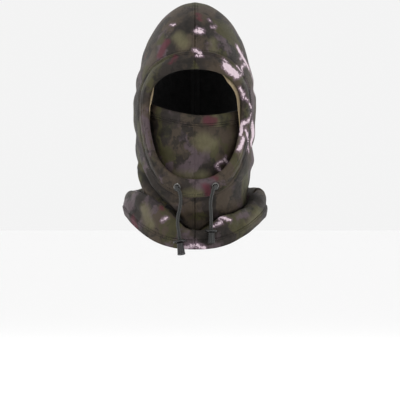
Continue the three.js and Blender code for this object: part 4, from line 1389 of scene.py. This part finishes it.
def cape_surface(angle, ring):
    neck, crest, hem = cape_heights(angle)
    fold = neck - FOLD_DEPTH
    levels = [neck - LAYER_GAP + SEAM_LAP, fold, mix(fold, crest, 0.6), crest - 1]
    levels += [mix(crest, hem, drop) for drop in RING_DROP]
    reach = np.where(np.cos(angle) > 0, CAPE_RINGS[:, 1, None, None], CAPE_RINGS[:, 2, None, None])
    sunk = np.array(RING_TUCK)[:, None, None]
    reach = reach - (THROAT_SINK * beneath_chin(angle) + SEAM_TUCK) * sunk
    across = (CAPE_RINGS[:, 0, None, None] - SEAM_TUCK * sunk) * np.sin(angle)
    stack = np.stack([across, -reach * np.cos(angle), np.stack(levels)], axis=-1)
    last = len(CAPE_RINGS) - 1
    k = np.minimum(np.floor(np.clip(ring, 0, last)).astype(int), last - 1)
    t = (np.clip(ring, 0, last) - k)[..., None]
    near = [np.clip(k + n, 0, last)[None, ..., None] for n in (-1, 0, 1, 2)]
    return catmull_rom(*(np.take_along_axis(stack, rows, axis=0)[0] for rows in near), t)


def cape_relief(angle, ring, points):
    _, _, hem = cape_heights(angle)
    above = points[..., 2] - hem
    outer = smoothstep(ring, 3.2, 4.6)
    relief = 1.4 * wave_noise(points * [1, 1, 0.6], 85, 51) * smoothstep(ring, 1.5, 4)
    relief += 0.35 * wave_noise(points, 30, 52)
    relief += outer * folds_relief(CAPE_FOLDS, angle, above, CAPE_FOLD_RADIUS)
    band = 1 - smoothstep(above, HEM_BAND - 1, HEM_BAND)
    ditch = -0.9 * np.exp(-((above - HEM_BAND) / 0.8) ** 2)
    second = -0.4 * np.exp(-((above - HEM_BAND + STITCH_ROW_GAP) / 0.8) ** 2)
    pucker = 0.3 * np.sin(angle * 150) * np.exp(-((above - HEM_BAND) / 3) ** 2)
    return relief + outer * (0.8 * band + ditch + second + pucker)


def make_cape():
    capes = []
    for side, sign in SIDES:
        columns, rows = 260, 150
        last = len(CAPE_RINGS) - 1
        angles, rings = np.meshgrid(sign * np.linspace(0, math.pi, columns), np.linspace(0, last, rows))
        base = cape_surface(angles, rings)
        normal = surface_normals(base, flip=sign < 0)
        relief = cape_relief(angles, rings, base) + seam_relief(base[..., 0], rings * 11)
        points = base + normal * relief[..., None]
        close_seams(points, sign)
        faces = grid_faces(rows, columns, flip=sign < 0)
        cape = new_piece(f"cape_cloth_{side}", points.reshape(-1, 3), faces)
        nodes = [f"cape_panel_{side}", f"cape_hem_{side}"]
        finish_sheet(cape, CAPE_THICKNESS, CAPE_CLOTH, nodes)
        capes.append(cape)
        # the lining runs from just past the crest to above the hem
        inner = (points - normal * LINING_DEPTH)[int(rows * 0.52):rows - 14]
        close_seams(inner, sign)
        faces = grid_faces(inner.shape[0], columns, flip=sign < 0)
        backing = new_piece(f"cape_fleece_{side}", inner.reshape(-1, 3), faces)
        nodes = [f"cape_lining_{side}"]
        finish_sheet(backing, LINING_CLOTH, FLEECE, nodes)
        for row, height in enumerate((HEM_BAND, HEM_BAND - STITCH_ROW_GAP)):
            path, outward = hem_line(points, normal, angles, height)
            stitch_row(f"cape_hem_stitch_{side}_{row + 1}", path, outward)
    print_camouflage(capes, "cape", 400)
    # painted shade: the cloth inside the cape's crest is darkened, standing in for the shadow in the hollow
    # behind it
    for cape in capes:
        points = points_of(cape)
        crest_half, crest_front, crest_back = CAPE_RINGS[CREST_RING]
        reach = np.where(points[:, 1] < 0, crest_front, crest_back)
        inward = 1 - np.hypot(points[:, 0] / crest_half, points[:, 1] / reach)
        set_field(cape, "painted_shade", smoothstep(inward, 0.0, 0.09))


def hem_line(points, normal, angles, height):
    """Where the finished cape is at a height above its hem, column by column."""
    _, _, hem = cape_heights(angles[0])
    start = points.shape[0] // 2
    path, outward = [], []
    for column in range(2, points.shape[1] - 2):
        levels = points[start:, column, 2] - hem[column]
        at = np.interp(-height, -levels, np.arange(start, points.shape[0]))
        low = min(int(at), points.shape[0] - 2)
        share = at - low
        path.append(mix(points[low, column], points[low + 1, column], share))
        outward.append(normal[low, column])
    return np.array(path), np.array(outward)


# ---- Cords and what is on them ------------------------------------------------------------------------

# The free ends of the drawcord, in millimetres, from each eyelet's mouth into its bell.
TAIL_ROUTE = {
    "left": [
        (-23.58, -98.95, -241.19), (-24.1, -100.4, -241.5), (-24.6, -101.9, -243.5),
        (-21.4, -105, -244.8), (-19.6, -106, -249), (-18.7, -106.7, -255), (-18.7, -107.4, -262),
        (-19.9, -108.7, -270), (-21.9, -110.3, -279), (-22.5, -112, -288.4),
        (-21.3, -113.6, -298.1), (-20.1, -115.2, -307.8), (-18.9, -116.8, -317.5),
    ],
    "right": [
        (26.93, -97.8, -240.01), (27.5, -99.2, -240.4), (28.2, -100.7, -242.3),
        (24.8, -104.4, -242.6), (23.2, -106, -247), (21.5, -106.7, -254), (20.3, -107.3, -262),
        (20.6, -108, -269), (21, -108.8, -276), (21.2, -109.6, -284),
        (21.2, -110.6, -294), (21.2, -111.6, -304),
    ],
}
CORD_RADIUS = 2.2


def tube_along(route, radius, sides, steps):
    """A closed tube, its ring centres and a UV map with u round it and v along it."""
    route = np.array(route, float)
    centres = spline_rows(route, np.linspace(0, len(route) - 1, steps))
    tangents = np.gradient(centres, axis=0)
    tangents /= np.linalg.norm(tangents, axis=1, keepdims=True)
    side = np.cross(tangents[0], [0, 0, 1.0])
    points, uv = [], []
    along = length_along(centres)
    for centre, tangent, length in zip(centres, tangents, along):
        side = unit(side - tangent * (side @ tangent))
        up = np.cross(tangent, side)
        for k in range(sides):
            turn = 2 * math.pi * k / sides
            points.append(centre + radius * (math.cos(turn) * side + math.sin(turn) * up))
            uv.append((4 * abs(2 * k / sides - 1), length / (2 * radius)))
    faces = grid_faces(steps, sides, wrap=True)
    ends = [list(reversed(range(sides))), list(range((steps - 1) * sides, steps * sides))]
    return np.array(points), [*map(list, faces), *ends], centres, uv


def edit_selected(piece):
    bpy.ops.object.select_all(action="DESELECT")
    bpy.context.view_layer.objects.active = piece
    piece.select_set(True)
    bpy.ops.object.mode_set(mode="EDIT")


def turned_piece(name, profile, base, direction, sides=40):
    """A piece turned about its own axis from a closed profile of (radius, height) in
    millimetres: a ring, extruded from each point of the profile to the next."""
    bpy.ops.object.select_all(action="DESELECT")
    (radius, height), *rest = profile
    bpy.ops.mesh.primitive_circle_add(vertices=sides, radius=radius, location=(0, 0, height))
    piece = bpy.context.object
    piece.name = name
    bpy.ops.object.transform_apply(location=True, rotation=False, scale=False)
    edit_selected(piece)
    bpy.ops.mesh.select_all(action="SELECT")
    for next_radius, next_height in rest:
        lift = {"value": (0, 0, next_height - height)}
        bpy.ops.mesh.extrude_edges_move(TRANSFORM_OT_translate=lift)
        growth = next_radius / radius
        bpy.ops.transform.resize(value=(growth, growth, 1), center_override=(0, 0, next_height))
        radius, height = next_radius, next_height
    bpy.ops.mesh.select_all(action="SELECT")
    bpy.ops.mesh.remove_doubles(threshold=1e-3)
    bpy.ops.mesh.normals_make_consistent(inside=False)
    bpy.ops.object.mode_set(mode="OBJECT")
    turn = Vector((0, 0, 1)).rotation_difference(Vector(direction))
    place = Matrix.Translation(Vector(base) * MM) @ turn.to_matrix().to_4x4() @ Matrix.Scale(MM, 4)
    piece.data.transform(place)
    bpy.ops.object.shade_smooth_by_angle(angle=math.radians(35))
    return piece


def make_cords():
    for side, route in TAIL_ROUTE.items():
        points, faces, centres, uv = tube_along(route, CORD_RADIUS, 20, 150)
        tail = new_piece(f"tail_cord_{side}", points, faces, uv)
        body = f"tail_{side}"
        end = np.array(route[-1])
        down = unit(end - np.array(route[-2]))
        top = end - down * 4.2
        bell_low, bell_high = cad_box_mm(f"cord_bell_{side}")
        disc_low, disc_high = cad_box_mm(f"cord_disc_{side}")
        length = (bell_high - bell_low)[2] - 1.6
        bell_profile = [
            (2.45, 0.2), (3.3, 0.0), (4.1, 0.25), (4.5, 0.9), (4.45, 2.2), (4.2, 3.2), (4.25, 4.2),
            (4.55, 7), (4.9, length - 3.5), (5.2, length - 1.2), (5.3, length - 0.5), (5.1, length),
            (4.4, length), (4.1, length - 0.5), (3.9, length - 3), (3.4, 3), (2.45, 2.2), (2.45, 0.2),
        ]
        bell = turned_piece(f"bell_end_{side}", bell_profile, top, down)
        knot = make_knot(side, end + down * 3.4, down)
        up = -down
        disc_radius = (disc_high - disc_low)[0] / 2
        disc_profile = [
            (2.5, 0.3), (2.8, 0.0), (4.0, 0.0), (4.5, 0.3), (disc_radius - 1.4, 0.3),
            (disc_radius - 0.6, 0.0), (disc_radius, 0.5), (disc_radius, 1.9), (disc_radius - 0.6, 2.4),
            (disc_radius - 1.4, 2.1), (4.5, 2.1), (4.0, 2.4), (2.8, 2.4), (2.5, 2.1), (2.5, 0.3),
        ]
        disc = turned_piece(f"sliding_disc_{side}", disc_profile, top + up * 0.3, up, 56)
        for piece, material, slot, rides_on, node in (
            (bell, PLASTIC, "black_plastic", body, f"cord_bell_{side}"),
            (knot, CORD, "cord", body, f"cord_knot_{side}"),
            (disc, PLASTIC, "black_plastic", f"disc_{side}", f"cord_disc_{side}"),
            (tail, CORD, "cord", body, f"cord_tail_{side}"),
        ):
            finish_with(piece, material, rides_on)
            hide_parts(node)


def make_knot(side, centre, direction):
    """An overhand knot drawn tight: a short cord wound on itself, inside the bell."""
    turns = np.linspace(0, 2 * math.pi, 60)
    loop = np.stack([
        (1.1 + 0.55 * np.cos(1.5 * turns)) * np.cos(turns),
        (1.1 + 0.55 * np.cos(1.5 * turns)) * np.sin(turns),
        1.2 * np.sin(1.5 * turns),
    ], axis=1)
    turn = Vector((0, 0, 1)).rotation_difference(Vector(direction))
    rotation = np.array(turn.to_matrix())
    route = loop @ rotation.T + centre
    points, faces, _, uv = tube_along(route, 1.25, 12, 60)
    return new_piece(f"end_knot_{side}", points, faces, uv)


# ---- Eyelets --------------------------------------------------------------------------------------------

def make_eyelets():
    for side, route in TAIL_ROUTE.items():
        mouth = np.array(route[0])
        direction = unit(np.array(route[1]) - mouth)
        profile = [
            (2.65, -4.4), (2.65, -0.9), (2.75, -0.35), (3.05, -0.02), (3.6, 0.12), (4.3, 0.02), (4.85, -0.35),
            (5.0, -0.75), (4.9, -1.0), (4.3, -0.95), (3.3, -1.05), (3.2, -4.4), (2.65, -4.4),
        ]
        eyelet = turned_piece(f"eyelet_ring_{side}", profile, mouth, direction, 48)
        finish_with(eyelet, NICKEL)
        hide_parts(f"eyelet_{side}")


# ---- Care label ----------------------------------------------------------------------------------------

LABEL_TUCK = 0.9


def make_label():
    """A blank woven label sewn along its top edge, its lower corners lifting a little."""
    low, high = cad_box_mm("nape_label")
    across, up = np.meshgrid(np.linspace(-1, 1, 30), np.linspace(0, 1, 22))
    half = (high - low)[0] / 2
    wall = (low + high)[1] / 2
    corner = 1 - 0.03 * np.abs(across) ** 12 * (1 - up)
    lift = (1 - up) ** 2 * (0.5 + 0.8 * across ** 2) + 0.15 * np.sin(across * 5 + up * 3)
    height = (high - low)[2]
    points = np.stack([across * half * corner, wall - lift, low[2] + up * height], axis=-1)
    points[..., 0] += (low + high)[0] / 2
    label = new_piece("care_label", points.reshape(-1, 3), grid_faces(22, 30))
    thicken(label, 0.35, 0)
    finish_with(label, LABEL)
    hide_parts("nape_label")
    run = np.linspace(-0.94, 0.94, 40)
    edge = np.stack([run * half, 0 * run + wall - LABEL_TUCK, 0 * run + high[2] - 2], axis=1)
    stitch_row("label_stitches", edge, np.tile([0.0, -1.0, 0.0], (40, 1)), lift=-0.4)


# ---- CAD pieces that stay ----------------------------------------------------------------------------------

def finish_cad_nodes():
    kept = {"drawcord": CORD, "mask_hem_elastic": ELASTIC}
    for side, _ in SIDES:
        kept |= {f"eyelet_washer_{side}": NICKEL, f"eyelet_patch_{side}": TAPE}
    for name, material in kept.items():
        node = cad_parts[name]
        node.data.materials.clear()
        node.data.materials.append(material)


make_cords()
make_hood()
make_centre_stitches()
make_seam_tapes()
make_face_band()
make_facing()
make_mask()
make_mask_hem()
make_cape()
make_eyelets()
make_label()
finish_cad_nodes()
